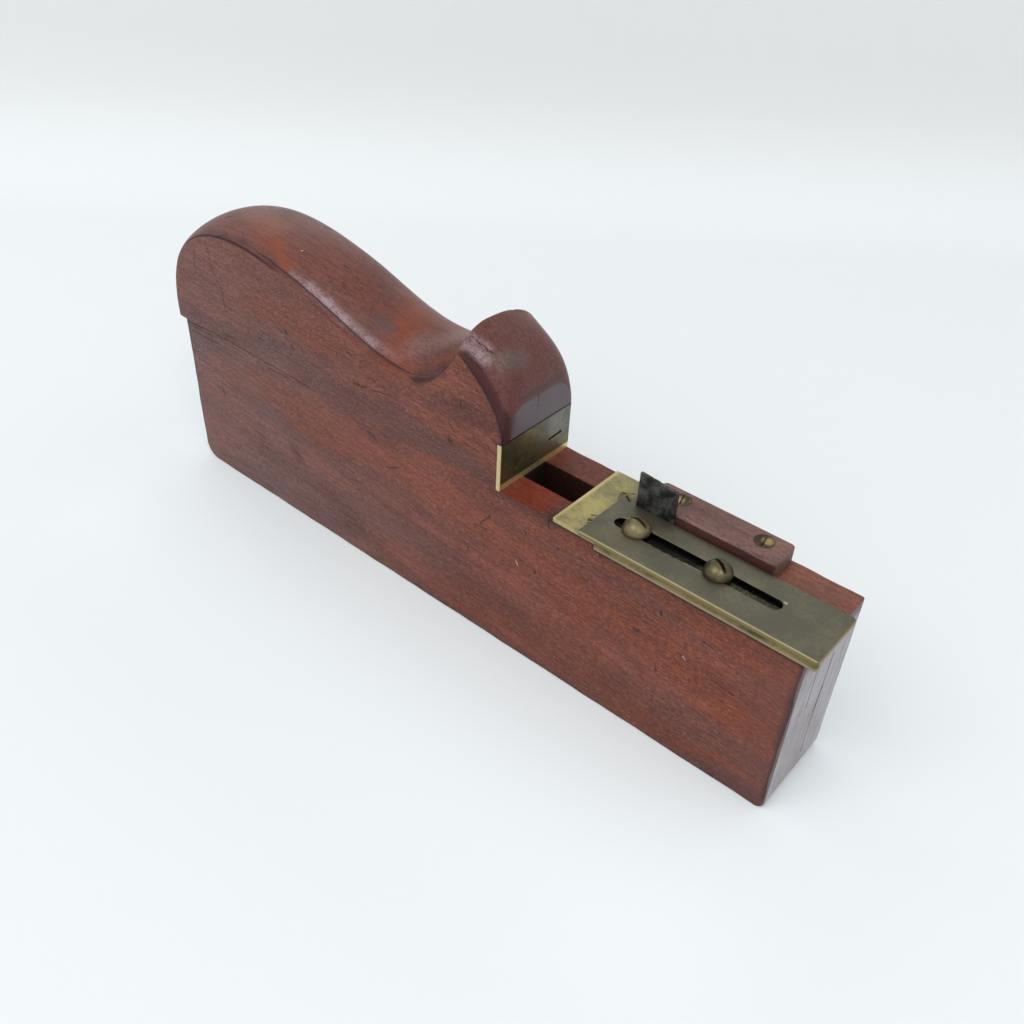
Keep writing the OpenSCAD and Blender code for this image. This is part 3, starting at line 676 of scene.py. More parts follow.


# pale lilac for the painted highlights on the grip and on the horn
highlightLilac = (0.36, 0.26, 0.28)
plumDark = (0.04, 0.02, 0.024)
fire = (0.24, 0.05, 0.014)
# dark brown for stains on the near face, for the darker lowest edges, and for painted shadow in a gap
stainAndShade = (0.03, 0.016, 0.017)
black = (0.006, 0.006, 0.006)
stockMarks = dict(
    bloom=(0.165, 0.112, 0.114),
    gripTone=(0.14, 0.041, 0.031),
    plum=(0.118, 0.05, 0.052),
    ember=(0.052, 0.007, 0.008),
    # the facet over the plate: a painted grey reflection
    facet=(0.123, 0.098, 0.112),
    bare=(0.5, 0.36, 0.3),
    # bands along the stock: height, slope, half width, weight, from x, to x
    hazeBands=[(71.5, -0.025, 6.5, 0.8, -150, 22), (56.0, -0.02, 7.0, 0.3, 30, 150),
               (20.5, 0.0, 7.5, 0.7, -105, 0), (24.0, -0.03, 8.0, 0.5, 90, 150),
               (3.0, 0.0, 7.0, 0.3, -150, 150)],
    orangeBands=[(47.0, -0.06, 12.0, 0.6, -105, 110), (88.0, -0.05, 9.0, 0.5, -95, -20),
                 (36.0, 0.0, 8.0, 0.7, 50, 150), (60.0, 0.0, 6.0, 0.5, 40, 150)],
    # soft strokes: from, to, width, colour, weight
    paint=[
        # painted highlight: a pale glossy band along the grip's near side, beside the bead
        ((-72, -15.8, 108.8), (-62, -15.9, 106.3), 2.6, highlightLilac, 0.35),
        ((-63, -15.9, 106.6), (-54, -15.9, 103.8), 3.4, highlightLilac, 0.8),
        ((-54, -15.9, 103.8), (-45, -16.0, 100.4), 3.2, highlightLilac, 0.8),
        ((-45, -16.0, 100.4), (-32, -15.8, 96.8), 3.2, highlightLilac, 0.6),
        ((-33, -15.8, 97.0), (-20, -15.2, 95.4), 3.0, highlightLilac, 0.35),
        ((-96, -9, 115), (-86, -10.5, 114.6), 7.0, fire, 0.5),
        ((-86, -11, 114), (-75, -15, 110.5), 5.0, fire, 0.8),
        ((-20, -13.5, 97.2), (-28, 1.0, 103.5), 12.0, fire, 0.65),
        ((-106, -3, 116), (-93, -4, 117), 10.0, (0.3, 0.13, 0.085), 0.5),
        # painted sheen on the saddle
        ((-16, -9, 98), (-8, -3, 101), 9.0, (0.21, 0.125, 0.118), 0.75),
        # painted shade: a dark band along the hump's near edge, where the grip curls over
        ((-122, -16.5, 109), (-98, -16.3, 112), 3.0, plumDark, 0.6),
        ((-98, -16.3, 112), (-80, -16.3, 109.5), 2.6, plumDark, 0.5),
        # painted shade below the saddle's near edge
        ((-8.9, -17.3, 93), (2.0, -16.7, 101.5), 4.5, (0.03, 0.008, 0.009), 0.85),
        ((-34, -9.4, 102.6), (-29, -9.9, 101.2), 3.6, (0.065, 0.055, 0.06), 0.65),
        # painted shade: the dark red strip beside the horn's near edge
        ((18.8, -17.0, 105.0), (24.9, -17.2, 97.4), 3.0, (0.04, 0.005, 0.006), 0.8),
        # a pale worn patch on the horn, with a painted highlight
        ((11.2, -16.0, 112.3), (18.2, -14.8, 110.4), 3.7, highlightLilac, 0.7),
        ((10.4, -13.5, 115.2), (17.5, -12.2, 113.0), 2.2, highlightLilac, 0.5),
        ((22.4, -10.8, 110), (24.2, -5.8, 109.4), 6.5, (0.13, 0.112, 0.1), 0.6),
        ((28.5, -9, 97.6), (28.2, 11.2, 97.6), 2.6, plumDark, 0.65),
        ((28.5, -16, 85), (28.5, -13.8, 91), 4.0, plumDark, 0.8),
        ((-76.4, -18, 85.4), (-75.2, -18, 84.4), 3.2, (0.06, 0.055, 0.04), 0.6),
        ((-78.6, -18, 32), (-76, -18, 29), 4.0, stainAndShade, 0.7),
        ((-125, -18, 41), (-121, -18, 39.6), 1.8, stainAndShade, 0.5),
        ((140.2, -18, 6), (140.3, -18, 30), 2.2, black, 0.9),
        ((140.2, -18, 30), (140.2, -18, 50), 3.6, black, 1.0),
        ((140.2, -18, 50), (140.2, -18, 64), 2.4, black, 0.9),
        ((28.8, -18, 66), (52, -18, 66), 1.4, plumDark, 0.5),
        ((5.8, -18, 76.2), (6.6, -18, 75.8), 2.2, stainAndShade, 0.6),
    ],
    paleNicks=[((37, -18, 42), (37.8, -18, 40.2), 0.3), ((103.8, -18, 42.8), (104.8, -18, 42.4), 0.3),
               ((-75.0, -8.5, 113.8), (-74.4, -8.2, 113.8), 0.4)],
    lines=[
        ((-84.4, 11.0, 113.9), (-83.4, 14.6, 112.2), 0.7),
        ((-65.2, 11.4, 110.8), (-62.7, 11.3, 110.3), 0.6),
        ((-117, -8.8, 113.6), (-115.2, -7.4, 114.2), 0.45),
        ((-109.3, -17.3, 111.2), (-107.4, -16.2, 112.2), 0.5),
        ((-58.6, -3.4, 112.1), (-56.4, -3.1, 111.5), 0.4), ((28.5, -0.4, 95.8), (28.5, -0.7, 91.4), 0.4),
        ((26.4, -18, 84.4), (28.8, -17.8, 84.9), 0.7), ((28.6, -17, 85), (28.5, -16.1, 87.8), 0.6),
        ((9.6, -14.4, 116.0), (13, -13.5, 114.4), 0.45), ((13, -13.5, 114.4), (18.6, -12.6, 111.8), 0.38),
        ((11.3, -17.3, 110.6), (18.4, -16.4, 107.2), 0.35),
    ],
)

# cracks and scratches on the near face: from x, from z, to x, to z, width
nearLines = [
    (-140.5, 65.6, -122.5, 67.0, 0.6), (-122.5, 67.0, -104, 66.9, 0.5), (-104, 66.9, -65, 66.2, 0.36),
    (-96, 64.6, -70, 65.0, 0.26), (-137.4, 62.6, -121, 62.9, 0.4), (-139, 64.2, -124, 65.4, 0.36),
    (-127.4, 100.0, -128.8, 90.2, 0.36), (-118.9, 106.5, -116.8, 94.5, 0.3),
    (-116.8, 94.5, -112.7, 89.8, 0.36), (-112.7, 89.8, -112.0, 80.0, 0.32), (-73, 80.6, -71.8, 79.4, 0.65),
    (-42.5, 90.1, -40.5, 89.6, 0.7), (-48.3, 87.3, -47.5, 84.5, 0.5), (-40.3, 78.8, -34.0, 79.2, 0.5),
    (-30.6, 79.9, -20.6, 81.5, 0.35), (-76, 85.8, -75.4, 84.9, 0.65), (-89.6, 97, -89.5, 95.6, 0.5),
    (-33.8, 61.4, -29.2, 59.2, 0.55), (11.1, 93.8, 11.1, 91.0, 0.5), (5.8, 76.6, 6.6, 76.0, 0.6),
    (0.6, 44.9, 3.2, 44.3, 0.4), (-25, 49.8, -19, 52.4, 0.4), (20.6, 48.7, 25, 54.5, 0.4),
    (17.8, 47.1, 24, 48.2, 0.4), (40.4, 56.2, 40.5, 55.2, 0.6), (53.8, 57.4, 54, 56.8, 0.7),
    (45.2, 42, 45.5, 41.3, 0.7), (15.2, 35.2, 15.3, 34.2, 0.6), (49.4, 66.4, 49.6, 63.0, 0.6),
    (85.6, 42.6, 87.6, 42.4, 0.5), (101.9, 43.3, 104, 42.5, 0.45), (109.4, 53, 114.2, 52.2, 0.4),
    (94, 55.2, 94.1, 54.4, 0.7), (114.6, 40.2, 122.5, 39.5, 0.4), (95.5, 31.2, 95.6, 30.7, 0.7),
    (69.8, 66.0, 69.9, 63.0, 0.6), (-76.5, 31.6, -72.5, 28.2, 0.5), (-121.6, 42.6, -120.6, 39.2, 0.4),
    (24.6, 84.9, 26.4, 84.4, 0.6),
]
stockMarks["lines"] += [((x0, -halfWidth, z0), (x1, -halfWidth, z1), width)
                        for x0, z0, x1, z1, width in nearLines]

# boxes on the deck, painted shade in the well and the kerf, painted shadow above the fence plate and under
# the slide's lip, boxes beside the plates, and along the lowest edges
stockBoxes = [
    patch((0.28, 0.026, 0.003), 0.85, 1.0, x=(28.6, 46), y=(-17.6, -6), z=(66.3, 66.7)),
    patch((0.2, 0.03, 0.01), 0.8, 2.5, x=(28.6, 35), y=(6, 17.6), z=(66.3, 66.7)),
    patch((0.06, 0.025, 0.02), 0.6, 3.0, x=(45, 51), y=(-17.6, 17.6), z=(66.3, 66.7)),
    patch((0.33, 0.15, 0.1), 0.6, 1.0, x=(117, None), z=(66.3, 66.7)),
    # painted shadow in the gap between the fence plate's top and the wood
    patch(stainAndShade, 0.95, 0.08, x=(27.6, None), z=(84.0, 84.75)),
    patch(stainAndShade, 0.7, 0.5, z=(None, 0.7)),
    patch((0.05, 0.025, 0.022), 0.6, 0.5, x=(None, -139.7), z=(None, 66)),
    patch(stainAndShade, 0.75, 0.7, x=(139.3, None), z=(4, 64)),
    patch((0.1, 0.04, 0.036), 0.3, 7.0, x=(127, None), z=(None, 64)),
    # painted shade: the well and the kerf painted near black
    patch((0.012, 0.005, 0.004), 0.97, 0.15, x=(28.3, 57.7), y=(-6.1, 6.1), z=(40, 66.2)),
    patch((0.01, 0.005, 0.004), 0.97, 0.1, x=(66.9, 81.6), y=(3.7, 5.05), z=(30, 66.2)),
    # painted shadow on the near face under the slide's lip
    patch((0.014, 0.006, 0.006), 0.9, 0.2, x=(66.4, None), y=(None, -17.9), z=(63.7, 66.0)),
    patch((0.02, 0.01, 0.009), 0.75, 0.4, x=(49, 62), y=(-18.2, -17.4), z=(65.5, 66.6)),
]
toeLines = [((140.5, 4.3, 53.5), (140.5, 3.4, 37.0), 0.42), ((140.5, 3.5, 40.0), (140.5, 2.5, 29.6), 0.8),
            ((140.5, 2.5, 29.6), (140.5, 3.2, 9.1), 0.36), ((140.5, -6.9, 57.0), (140.5, -6.2, 38.1), 0.34)]
stockWood = makeWood("stockWood", woodLook, stockMarks, stockBoxes)
makeStock(stock, [stockWood, makeEndGrain("stockEnds", endLook, toeLines)])


# the bed plate and the slide are equally thick
plateDepth = 1.6
bedTop = deckZ + plateDepth
slideTop = bedTop + plateDepth
slide = dict(x=(fenceX + 33.2, fenceX + 115.4), y=(-19.5, 3.8), z=(bedTop, slideTop), edge=0.28,
             slotX=(5.3, 63.9), slotY=-6.8, slotWidth=5.0, corner=1.3, fenceCorners=(0.5, 0.8),
             # wear of the slot's near edge: distance from the slide's end, reach, depth, unevenness
             wear=(24, 15, 0.35, 0.2))


def makeSlide(p, material):
    # u runs round the plate and round its slot together, v round the section between them:
    # wall, top edge, top, slot edge, slot wall and underside
    (x0, x1), (y0, y1), (z0, z1) = p["x"], p["y"], p["z"]
    half = p["slotWidth"] / 2
    s0, s1 = x0 + p["slotX"][0] + half, x0 + p["slotX"][1] - half

    def run(fromX, toX, y):
        return np.stack([fromX + (toX - fromX) * np.arange(90) / 90, np.full(90, y)], 1)

    def arc(x, y, r, start, sweep=90, many=12):
        a = np.radians(start - sweep * np.linspace(0, 1, many))
        return np.stack([x + r * np.cos(a), y + r * np.sin(a)], 1)

    # both loops run clockwise: far side, toe end, near side, fence end
    r, (rFar, rNear), slotY = p["corner"], p["fenceCorners"], p["slotY"]
    outer = np.vstack([run(x0 + rFar, x1 - r, y1), arc(x1 - r, y1 - r, r, 90), arc(x1 - r, y0 + r, r, 0),
                       run(x1 - r, x0 + rNear, y0), arc(x0 + rNear, y0 + rNear, rNear, 270),
                       arc(x0 + rFar, y1 - rFar, rFar, 180)])
    inner = np.vstack([run(s0, s1, slotY + half), arc(s1, slotY, half, 90, 180, 24),
                       run(s1, s0, slotY - half), arc(s0, slotY, half, 270, 180, 24)])
    # the screws have worn the slot's near edge
    place, reach, deep, uneven = p["wear"]
    worn = bump(np.abs(inner[:, 0] - (x0 + place)), reach) * (deep + uneven * np.sin(inner[:, 0] * 1.9))
    inner[:, 1] -= np.where(inner[:, 1] < slotY - half * 0.9, worn, 0)
    out, into = outwardOf(outer), outwardOf(inner)
    e = p["edge"]
    slotEdge = e * 0.7
    turn = np.linspace(0, math.pi / 2, 4)
    rows = [(outer - out * 0.15, z0), (outer, z0 + 0.15)]
    rows += [(outer - out * e * (1 - math.cos(w)), z1 - e * (1 - math.sin(w))) for w in turn]
    top0, top1 = outer - out * e, inner + into * slotEdge
    rows += [(top0 + (top1 - top0) * f, z1) for f in (0.25, 0.5, 0.75)]
    rows += [(inner + into * slotEdge * (1 - math.cos(w)), z1 - slotEdge * (1 - math.sin(w)))
             for w in turn[::-1]]
    rows += [(inner, z0)]
    grid = np.stack([np.column_stack([loop, np.full(len(loop), z)]) for loop, z in rows])
    faces = [f[::-1] for f in gridFaces(len(rows), len(outer), wrapRows=True, wrapCols=True)]
    makePiece("slidePlate", grid.reshape(-1, 3), faces, "slide", material, replaces=["slide"])


def flat(points):
    # a loop drawn in x and y stays as it is
    return points


def upright(points):
    # a loop drawn in x and z, with its thickness along y
    return np.stack([points[:, 0], points[:, 2], points[:, 1]], 1)


gold = (0.32, 0.24, 0.1)
highlightCream = (0.42, 0.34, 0.18)
# boxes: near wall, a painted highlight along its upper edge, toe end, and the slot's walls painted black, as
# grime and painted shade
slideBrass = makeBrass(
    "slideBrass", bright=(0.2, 0.18, 0.125), dull=(0.17, 0.153, 0.11), tarnish=(0.15, 0.138, 0.102),
    cover=0.6, lines=0.5, roughness=(0.4, 0.52),
    boxes=[
        patch((0.225, 0.18, 0.08), 0.9, 0.08, y=(None, -19.3)),
        patch(highlightCream, 0.9, 0.1, y=(-19.6, -19.2), z=(69.3, None)),
        patch(gold, 0.8, 0.1, x=(143.6, None)),
        patch(black, 1.0, 0.06, x=(66.5, 126.6), y=(-10.2, -4.1), z=(None, 69.5)),
    ],
    spots=[((80, -1.6, 69.7), (83.4, -1.4, 69.7), 2.4, (0.3, 0.24, 0.11), 0.4),
           ((94.5, -9.5, 69.7), (100.5, -9.3, 69.7), 0.7, (0.36, 0.32, 0.22), 0.8),
           ((66, -16, 69.7), (75, -13, 69.7), 5.0, (0.2, 0.17, 0.1), 0.4),
           # a painted glint at the slot's toe end
           ((125.0, -4.3, 69.7), (125.8, -4.5, 69.7), 0.4, (0.7, 0.7, 0.66), 0.9)])
lipBrass = makeBrass(
    "lipBrass", bright=(0.23, 0.172, 0.078), dull=(0.14, 0.107, 0.052), tarnish=(0.085, 0.067, 0.038),
    cover=0.25, lines=0.8,
    boxes=[patch((0.07, 0.055, 0.03), 0.3, 0.08, z=(67.9, None)),
           patch((0.33, 0.27, 0.15), 0.8, 0.3, z=(None, 66.8))])
# boxes: the free end, the part beside and behind the slide, and black where the slot lies, as grime and
# painted shade
bedBrass = makeBrass(
    "bedBrass", bright=(0.5, 0.41, 0.17), dull=(0.37, 0.315, 0.15), tarnish=(0.25, 0.22, 0.125),
    cover=0.32, roughness=(0.36, 0.5),
    boxes=[
        patch((0.78, 0.64, 0.28), 0.75, 0.6, x=(None, 52.0), z=(67.5, None)),
        patch((0.18, 0.165, 0.11), 0.8, 2.0, x=(60.5, None), z=(67.5, None)),
        patch((0.27, 0.24, 0.14), 0.5, 3.0, x=(52, None), y=(9, None), z=(67.5, None)),
        # black under the slot: grime and painted shade
        patch((0.046, 0.042, 0.035), 0.95, 0.1, x=(67.3, 126.2), y=(-10.2, -4.0), z=(68.0, 68.2)),
        patch(black, 1.0, 0.1, x=(67.3, 126.2), y=(-5.8, -4.0), z=(68.0, 68.2)),
        patch(black, 0.8, 1.0, x=(80, 98), y=(-10.2, -5.0), z=(67.2, 69.0)),
        patch(black, 1.0, 0.2, x=(67.3, 80), y=(-10.2, -4.0), z=(68.0, 68.2)),
    ],
    spots=[((59.2, -8.6, 68.1), (62.5, -6.6, 68.1), 0.7, black, 0.9),
           ((59.4, 7.8, 68.1), (62.7, 9.8, 68.1), 0.6, black, 0.9),
           ((60.4, 4.2, 68.1), (59.4, 6.8, 68.1), 0.55, black, 0.8)])
# boxes: painted reflections, dark at the near side and blue-grey at the far side, a painted shadow line at
# the plate's top, its bright foot, a screw's slot painted black as its shade, the near edge
fenceBrass = makeBrass(
    "fenceBrass", bright=(0.27, 0.22, 0.11), dull=(0.2, 0.165, 0.085), tarnish=(0.14, 0.115, 0.06),
    edge=0.3, roughness=(0.36, 0.46),
    boxes=[
        patch((0.085, 0.068, 0.043), 0.8, 4.0, x=(27.5, None), y=(None, -8), z=(76, None)),
        patch((0.165, 0.18, 0.2), 0.9, 7.0, x=(27.5, None), y=(3, None), z=(73, None)),
        patch(black, 1.0, 0.06, z=(84.08, None)),
        patch((0.9, 0.74, 0.36), 0.9, 0.4, z=(None, 68.8)),
        patch(black, 1.0, 0.02, x=(None, 28.46), y=(6.5, 13.9), z=(71.6, 78.6)),
        patch((0.62, 0.52, 0.26), 1.0, 0.1, y=(None, -17.75)),
    ])
# the strip's screw heads are painted dark, as painted shade in their recesses, with bright middles and black
# slots painted as the slots' shade
screwBrass = makeBrass(
    "screwBrass", bright=(0.45, 0.36, 0.16), dull=(0.27, 0.22, 0.12), tarnish=(0.15, 0.125, 0.075),
    cover=0.4, edge=0.5,
    boxes=[patch((0.05, 0.028, 0.018), 0.9, 0.02, z=(72.2, None))],
    spots=[((108.9, 13.7, 72.35), (109.0, 13.7, 72.35), 2.6, (0.45, 0.35, 0.16), 0.95),
           ((77.4, 12.4, 72.35), (77.5, 12.4, 72.35), 2.6, (0.5, 0.36, 0.2), 0.9),
           ((107.7, 15.2, 72.35), (108.5, 10.8, 72.35), 0.5, black, 1.0),
           ((77.5, 15.2, 72.35), (78.9, 10.8, 72.35), 0.5, black, 1.0)])
clampBrass = makeBrass(
    "clampBrass", bright=(0.2, 0.165, 0.085), dull=(0.11, 0.092, 0.055), tarnish=(0.05, 0.042, 0.028),
    cover=0.45, edge=1.0, lines=0.1, roughness=(0.34, 0.52),
    boxes=[patch((0.33, 0.27, 0.14), 0.5, 1.0, x=(None, 88), z=(69.5, None)),
           patch((0.1, 0.085, 0.05), 0.35, 1.0, x=(88, None), z=(69.5, None))])
makeSlide(slide, slideBrass)

lip = dict(x=(slide["x"][0] + 6.4, slide["x"][1]), y=(-19.5, -18.1), z=(bedTop - 2.3, bedTop), edge=0.12,
           corners=(0.1, 0.1, 0.1, 1.2))


def makeLip(p, material):
    loop = softened(oblong(p["x"], p["y"], p["corners"]), 2.0)
    points, faces = slab(loop, p["z"][0], p["z"][1], p["edge"], flat)
    makePiece("slideLip", points, faces, "slide", material, replaces=["slide_lip"])


makeLip(lip, lipBrass)

cutter = dict(x=(67.1, 81.4), y=(3.85, 4.85), bottom=51.5, top=(82.5, 81.2), edge=0.12)


def makeCutter(p, material):
    (x0, x1), (top0, top1) = p["x"], p["top"]
    loop = softened([(x0, p["bottom"], 0.1), (x0, top0, 0.3), (x1, top1, 0.35), (x1, p["bottom"], 0.1)], 0.7)
    # above the deck its edges are a little ragged
    ragged = ramp(loop[:, 1], 70, 74) * np.abs(ripple(loop[:, 0] + loop[:, 1], 2.0, (5.1, 0.1), (1.9, 0.06)))
    loop = loop - outwardOf(loop) * ragged[:, None]
    points, faces = slab(loop, p["y"][0], p["y"][1], p["edge"], upright)
    makePiece("cutterBlade", points, [f[::-1] for f in faces], "cutter", material,
              replaces=["cutter"])


makeCutter(cutter, makeSteel("cutterSteel", steelLook))

strip = dict(x=(68.9, 116.5), y=(4.9, 18.0), z=(deckZ, deckZ + 5.8), edge=0.45, corners=(0.3, 1.6, 1.6, 0.3))
stripWood = makeWood("stripWood", {**woodLook, "pale": (0.25, 0.135, 0.112), "deep": (0.13, 0.062, 0.053),
                                   "orange": (0.23, 0.08, 0.05), "grainTilt": 0.0},
                     boxes=[patch((0.05, 0.012, 0.009), 0.85, 0.15, y=(None, 5.4), z=(None, 71.9)),
                            patch((0.09, 0.055, 0.045), 0.6, 0.3, x=(116.2, None), z=(None, 71.9)),
                            # painted shadow along the foot of the strip's near side
                            patch((0.01, 0.005, 0.005), 0.8, 0.4, y=(None, 5.3), z=(None, 67.6))])


def makeStrip(p, material):
    loop = softened(oblong(p["x"], p["y"], p["corners"]), 0.8)
    nearSide = loop[:, 1] < p["y"][0] + 0.2
    chipped = np.where(nearSide, np.abs(ripple(loop[:, 0], 1.0, (9.1, 0.12), (3.7, 0.1), (1.3, 0.05))), 0)
    outward = outwardOf(loop)
    turn = np.linspace(0, math.pi / 2, 5)
    e = p["edge"]
    rows = [(loop - outward * 0.1, p["z"][0]), (loop, p["z"][0] + 0.1)]
    rows += [(loop - outward * (e * (1 - math.cos(w)) + chipped * math.sin(w))[:, None],
              p["z"][1] - e * (1 - math.sin(w))) for w in turn]
    grid = np.stack([np.column_stack([l, np.full(len(l), z)]) for l, z in rows])
    faces = [f[::-1] for f in gridFaces(len(rows), len(loop), wrapCols=True)] + lids(len(rows), len(loop))
    makePiece("guideStrip", grid.reshape(-1, 3), faces, "stock", material,
              replaces=["guide_strip"])


makeStrip(strip, stripWood)


def headGrid(radius, topOf, slotWidth, slotDepth):
    # rows run along the driver slot at set distances across it; a row's points spread over the head's width.
    # the height is topOf the distance from the axis, lowered to the slot's floor between its two doubled rows
    across = np.sin(np.linspace(-math.pi / 2, math.pi / 2, 27)) * radius
    half = slotWidth / 2
    across = np.sort(np.concatenate([across[np.abs(across) > half + 0.05], [-half, -half, 0, half, half]]))
    spread = np.sin(np.linspace(-math.pi / 2, math.pi / 2, 33))
    b = np.repeat(across[:, None], len(spread), 1)
    a = np.sqrt(np.maximum(radius ** 2 - across ** 2, 0))[:, None] * spread[None]
    z = topOf(np.hypot(a, b))
    inner = np.flatnonzero(np.abs(across) <= half + 1e-9)[1:-1]
    z[inner] = np.minimum(z[inner], topOf(np.zeros(1))[0] - slotDepth)
    return np.stack([a, b, z], -1)


def makeScrew(name, node, body, material, at, turn, p, topOf, tilt=None):
    # a head from headGrid, its wall and its shank, turned by an angle and set at a place
    grid = headGrid(p["radius"], topOf, p["slotWidth"], p["slotDepth"])
    rows, cols = grid.shape[:2]
    faces = [f[::-1] for f in gridFaces(rows, cols)]
    # the rim is carried down by the drop and in by the taper, and closed there
    rim = np.concatenate([grid[:, -1], grid[::-1, 0]])
    low = np.column_stack([rim[:, :2] * (1 - p["taper"] / p["radius"]), np.full(len(rim), -p["drop"])])
    points = [grid.reshape(-1, 3), low]
    above = np.array([i * cols + cols - 1 for i in range(rows)] + [i * cols for i in range(rows - 1, -1, -1)])
    below = rows * cols + np.arange(len(rim))
    faces += np.stack([below, np.roll(below, -1), np.roll(above, -1), above], 1).tolist()
    faces.append(below[::-1].tolist())
    # the shank below is a profile of (radius, height) turned round the axis
    offset = rows * cols + len(rim)
    angles = np.radians(np.arange(0, 360, 10))
    profile = np.array(p["shank"], float)
    ring = np.stack([profile[:, None, 0] * np.cos(angles), profile[:, None, 0] * np.sin(angles),
                     np.broadcast_to(profile[:, 1:], (len(profile), len(angles)))], -1)
    points.append(ring.reshape(-1, 3))
    faces += [f[::-1] for f in gridFaces(len(profile), len(angles), wrapCols=True, offset=offset)]
    faces += lids(len(profile), len(angles), offset)
    whole = np.vstack(points)
    c, w = math.cos(math.radians(turn)), math.sin(math.radians(turn))
    whole[:, :2] = whole[:, :2] @ np.array([[c, w], [-w, c]])
    if tilt == "x":
        whole = np.stack([whole[:, 2], whole[:, 1], -whole[:, 0]], 1)
    whole = whole + np.array(at)
    makePiece(name, whole, faces, body, material, sharp=30, replaces=[node])


def dome(height, radius):
    # the cap of a ball: sqrt(ball^2 - d^2) - (ball - height), at the distance d from the axis
    ball = (radius ** 2 + height ** 2) / (2 * height)
    return lambda d: np.sqrt(np.maximum(ball ** 2 - d ** 2, 0)) - (ball - height)


def flush(radius, rim):
    # flat, with its rim rounded over the last part of the radius
    return lambda d: rim * (np.sqrt(np.maximum(0, 1 - (np.maximum(d - radius + rim, 0) / rim) ** 2)) - 1)


clampHead = dict(radius=4.65, height=3.95, rise=0.4, slotWidth=1.2, slotDepth=1.7, drop=0.35, taper=0.1,
                 shank=[(0.8, -23.2), (2.3, -20.2), (2.3, 0.3)])
for name, x, turn in (("rear", 74.9, -7), ("front", 104.2, -29)):
    makeScrew("clampScrew" + name.capitalize(), "clamp_screw_" + name, "clamp_screw_" + name,
              clampBrass, (x, slide["slotY"], slideTop + clampHead["rise"]), turn, clampHead,
              dome(clampHead["height"], clampHead["radius"]))


def flushHead(rim, slotWidth, slotDepth):
    # a countersunk head; it narrows below its slot as fast as it goes down
    drop = slotDepth + 0.12
    return dict(radius=3.38, rim=rim, slotWidth=slotWidth, slotDepth=slotDepth, drop=drop, taper=drop,
                shank=[(0.5, -14.0), (1.7, -11.0), (1.7, -1.7), (3.3 - drop, -drop - 0.05)])


bedHead, stripHead = flushHead(0.25, 0.9, 0.7), flushHead(0.03, 0.7, 0.035)
# node, place of the head's middle, turn, tilt, head, brass
flushScrews = [
    ("bed_screw_rear_near", (62.7, -10.2, bedTop), 20, None, bedHead, screwBrass),
    ("bed_screw_rear_far", (62.7, 6.2, bedTop), -35, None, bedHead, screwBrass),
    ("bed_screw_front_near", (132.5, -12.8, bedTop), 50, None, bedHead, screwBrass),
    ("bed_screw_front_far", (132.5, -0.8, bedTop), 10, None, bedHead, screwBrass),
    ("strip_screw_rear", (78.2, 13.0, deckZ + 5.85), -72, None, stripHead, screwBrass),
    ("strip_screw_front", (108.1, 13.0, deckZ + 5.85), -79, None, stripHead, screwBrass),
    ("fence_screw_near", (fenceX, -10.2, deckZ + 8.6), 8, "x", flushHead(0.05, 0.5, 0.2), fenceBrass),
    ("fence_screw_far", (fenceX, 10.2, deckZ + 8.6), 94, "x", flushHead(0.03, 0.8, 0.6), fenceBrass),
]
for node, at, turn, tilt, head, brass in flushScrews:
    words = node.split("_")
    makeScrew(words[0] + "".join(w.capitalize() for w in words[1:]), node, "stock", brass,
              at, turn, head, flush(head["radius"], head["rim"]), tilt)

# the two plates of the CAD model stay as they are, and get their own brass
for node, material in (("bed_plate", bedBrass), ("fence_plate", fenceBrass)):
    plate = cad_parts[node]
    plate.data.materials.clear()
    plate.data.materials.append(material)
    print(node, "dressed")


# the floor beside the stock is painted lighter, a painted pool of light that lifts the shade around it; it
# rises and falls along x and y between four places each
room = dict(floor=(0.87, 0.9, 0.91), litFloor=(0.925, 0.975, 0.99), wall=(0.78, 0.79, 0.785), world=0.83,
            besideX=(-190, -120, 120, 190), besideY=(-130, -60, 20, 80),
            wallY=420.0, cove=90.0, turn=38.6, far=4000.0)


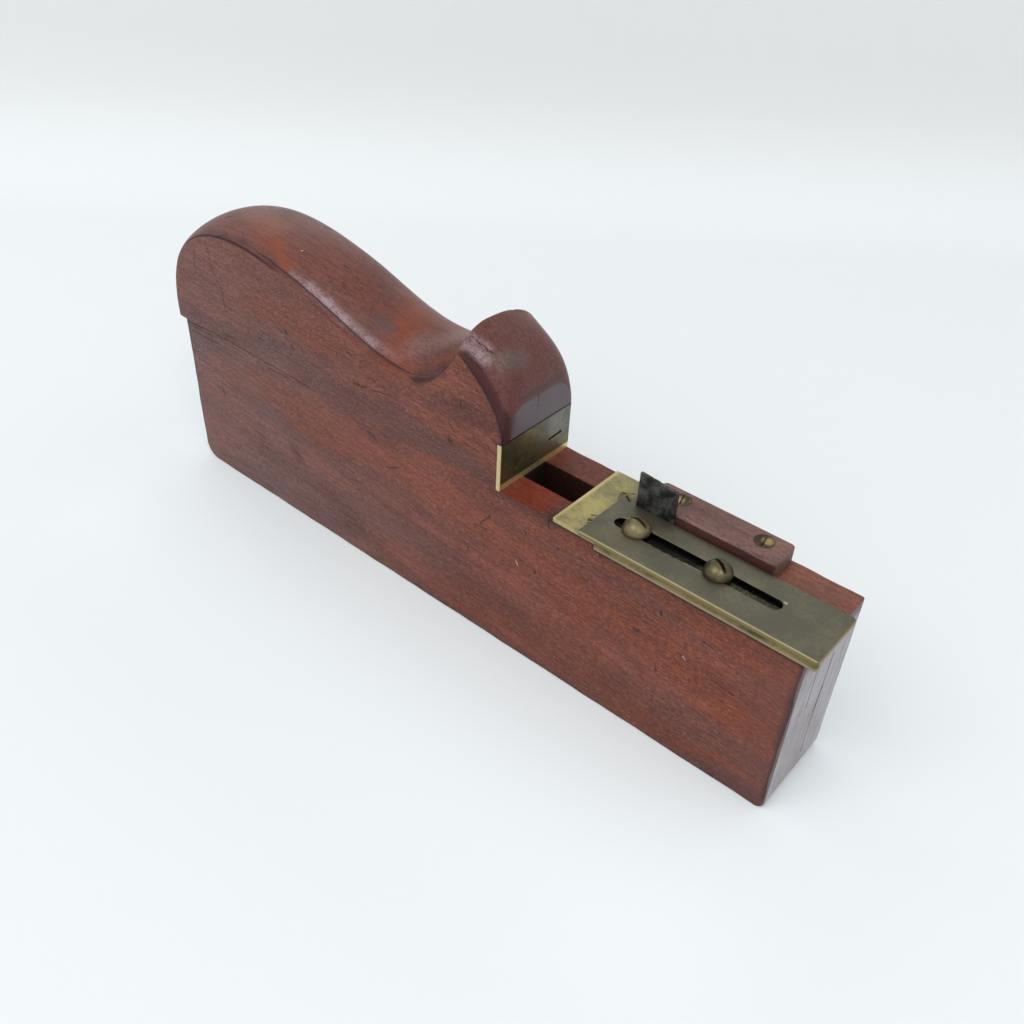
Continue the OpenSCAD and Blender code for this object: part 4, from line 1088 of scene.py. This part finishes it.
def makeRoom(p):
    # a sheet of paper: floor, a quarter circle and a wall, swept across
    turn = np.linspace(0, math.pi / 2, 24)
    y = np.concatenate([[-p["far"]], p["wallY"] - p["cove"] * (1 - np.sin(turn)), [p["wallY"]]])
    z = np.concatenate([[0], p["cove"] * (1 - np.cos(turn)), [p["far"]]]) - 0.02
    x = np.array([-p["far"], p["far"]])
    grid = np.stack(np.broadcast_arrays(x[:, None], y[None], z[None]), -1)
    across, back = heading(p["turn"]), heading(p["turn"] + 90)
    grid = np.concatenate([grid[..., :2] @ np.array([across, back]), grid[..., 2:]], -1)
    mesh = bpy.data.meshes.new("paperSweep")
    mesh.from_pydata((grid.reshape(-1, 3) * mm).tolist(), [], gridFaces(2, len(y)))
    mesh.polygons.foreach_set("use_smooth", np.ones(len(mesh.polygons), bool))
    sweep = bpy.data.objects.new("paperSweep", mesh)
    bpy.context.scene.collection.objects.link(sweep)
    s = Shader("paper")
    x, y, z = s.split()
    beside = s.times(s.plateau(y, *p["besideY"]), s.plateau(x, *p["besideX"]))
    floor = s.blend(beside, p["floor"], p["litFloor"])
    s.dress(baseColor=s.blend(s.step(z, 0.0, 0.07), floor, p["wall"]), roughness=0.9, specularIorLevel=0.1)
    mesh.materials.append(s.material)


makeRoom(room)
scene = bpy.context.scene
scene.view_settings.view_transform = "Standard"
world = bpy.data.worlds.new("room")
world.use_nodes = True
world.node_tree.nodes["Background"].inputs["Color"].default_value = (0.965, 0.985, 1.0, 1)
world.node_tree.nodes["Background"].inputs["Strength"].default_value = room["world"]
scene.world = world

# name, place in metres, size, power
lamps = [("window", (-0.25, -1.0, 1.5), 1.0, 7.0), ("skylight", (0.9, -0.6, 1.2), 0.5, 3.0)]
for name, at, size, power in lamps:
    lamp = bpy.data.lights.new(name, "AREA")
    lamp.shape = "SQUARE"
    lamp.size = size
    lamp.energy = power
    holder = bpy.data.objects.new(name, lamp)
    scene.collection.objects.link(holder)
    aim = np.array([0.0, 0.0, 0.06]) - np.array(at)
    holder.location = at
    holder.rotation_mode = "QUATERNION"
    holder.rotation_quaternion = Vector(aim).to_track_quat("-Z", "Y")

# the camera solved from the photo: its axes are right, up and backwards
view = dict(place=(200.03, -225.76, 269.61), lens=36.303, right=(0.75966, 0.64893, 0.04252),
            up=(-0.42659, 0.44789, 0.78576), forward=(-0.49086, 0.61505, -0.61707))
camera = bpy.data.cameras.new("photoCamera")
camera.sensor_width = 36.0
camera.lens = view["lens"]
camera.clip_start = 0.01
camera.clip_end = 20
eye = bpy.data.objects.new("photoCamera", camera)
scene.collection.objects.link(eye)
turnTo = Matrix((view["right"], view["up"], tuple(-c for c in view["forward"]))).transposed().to_4x4()
eye.matrix_world = Matrix.Translation([c * mm for c in view["place"]]) @ turnTo
scene.camera = eye
print("room, light and camera ready")
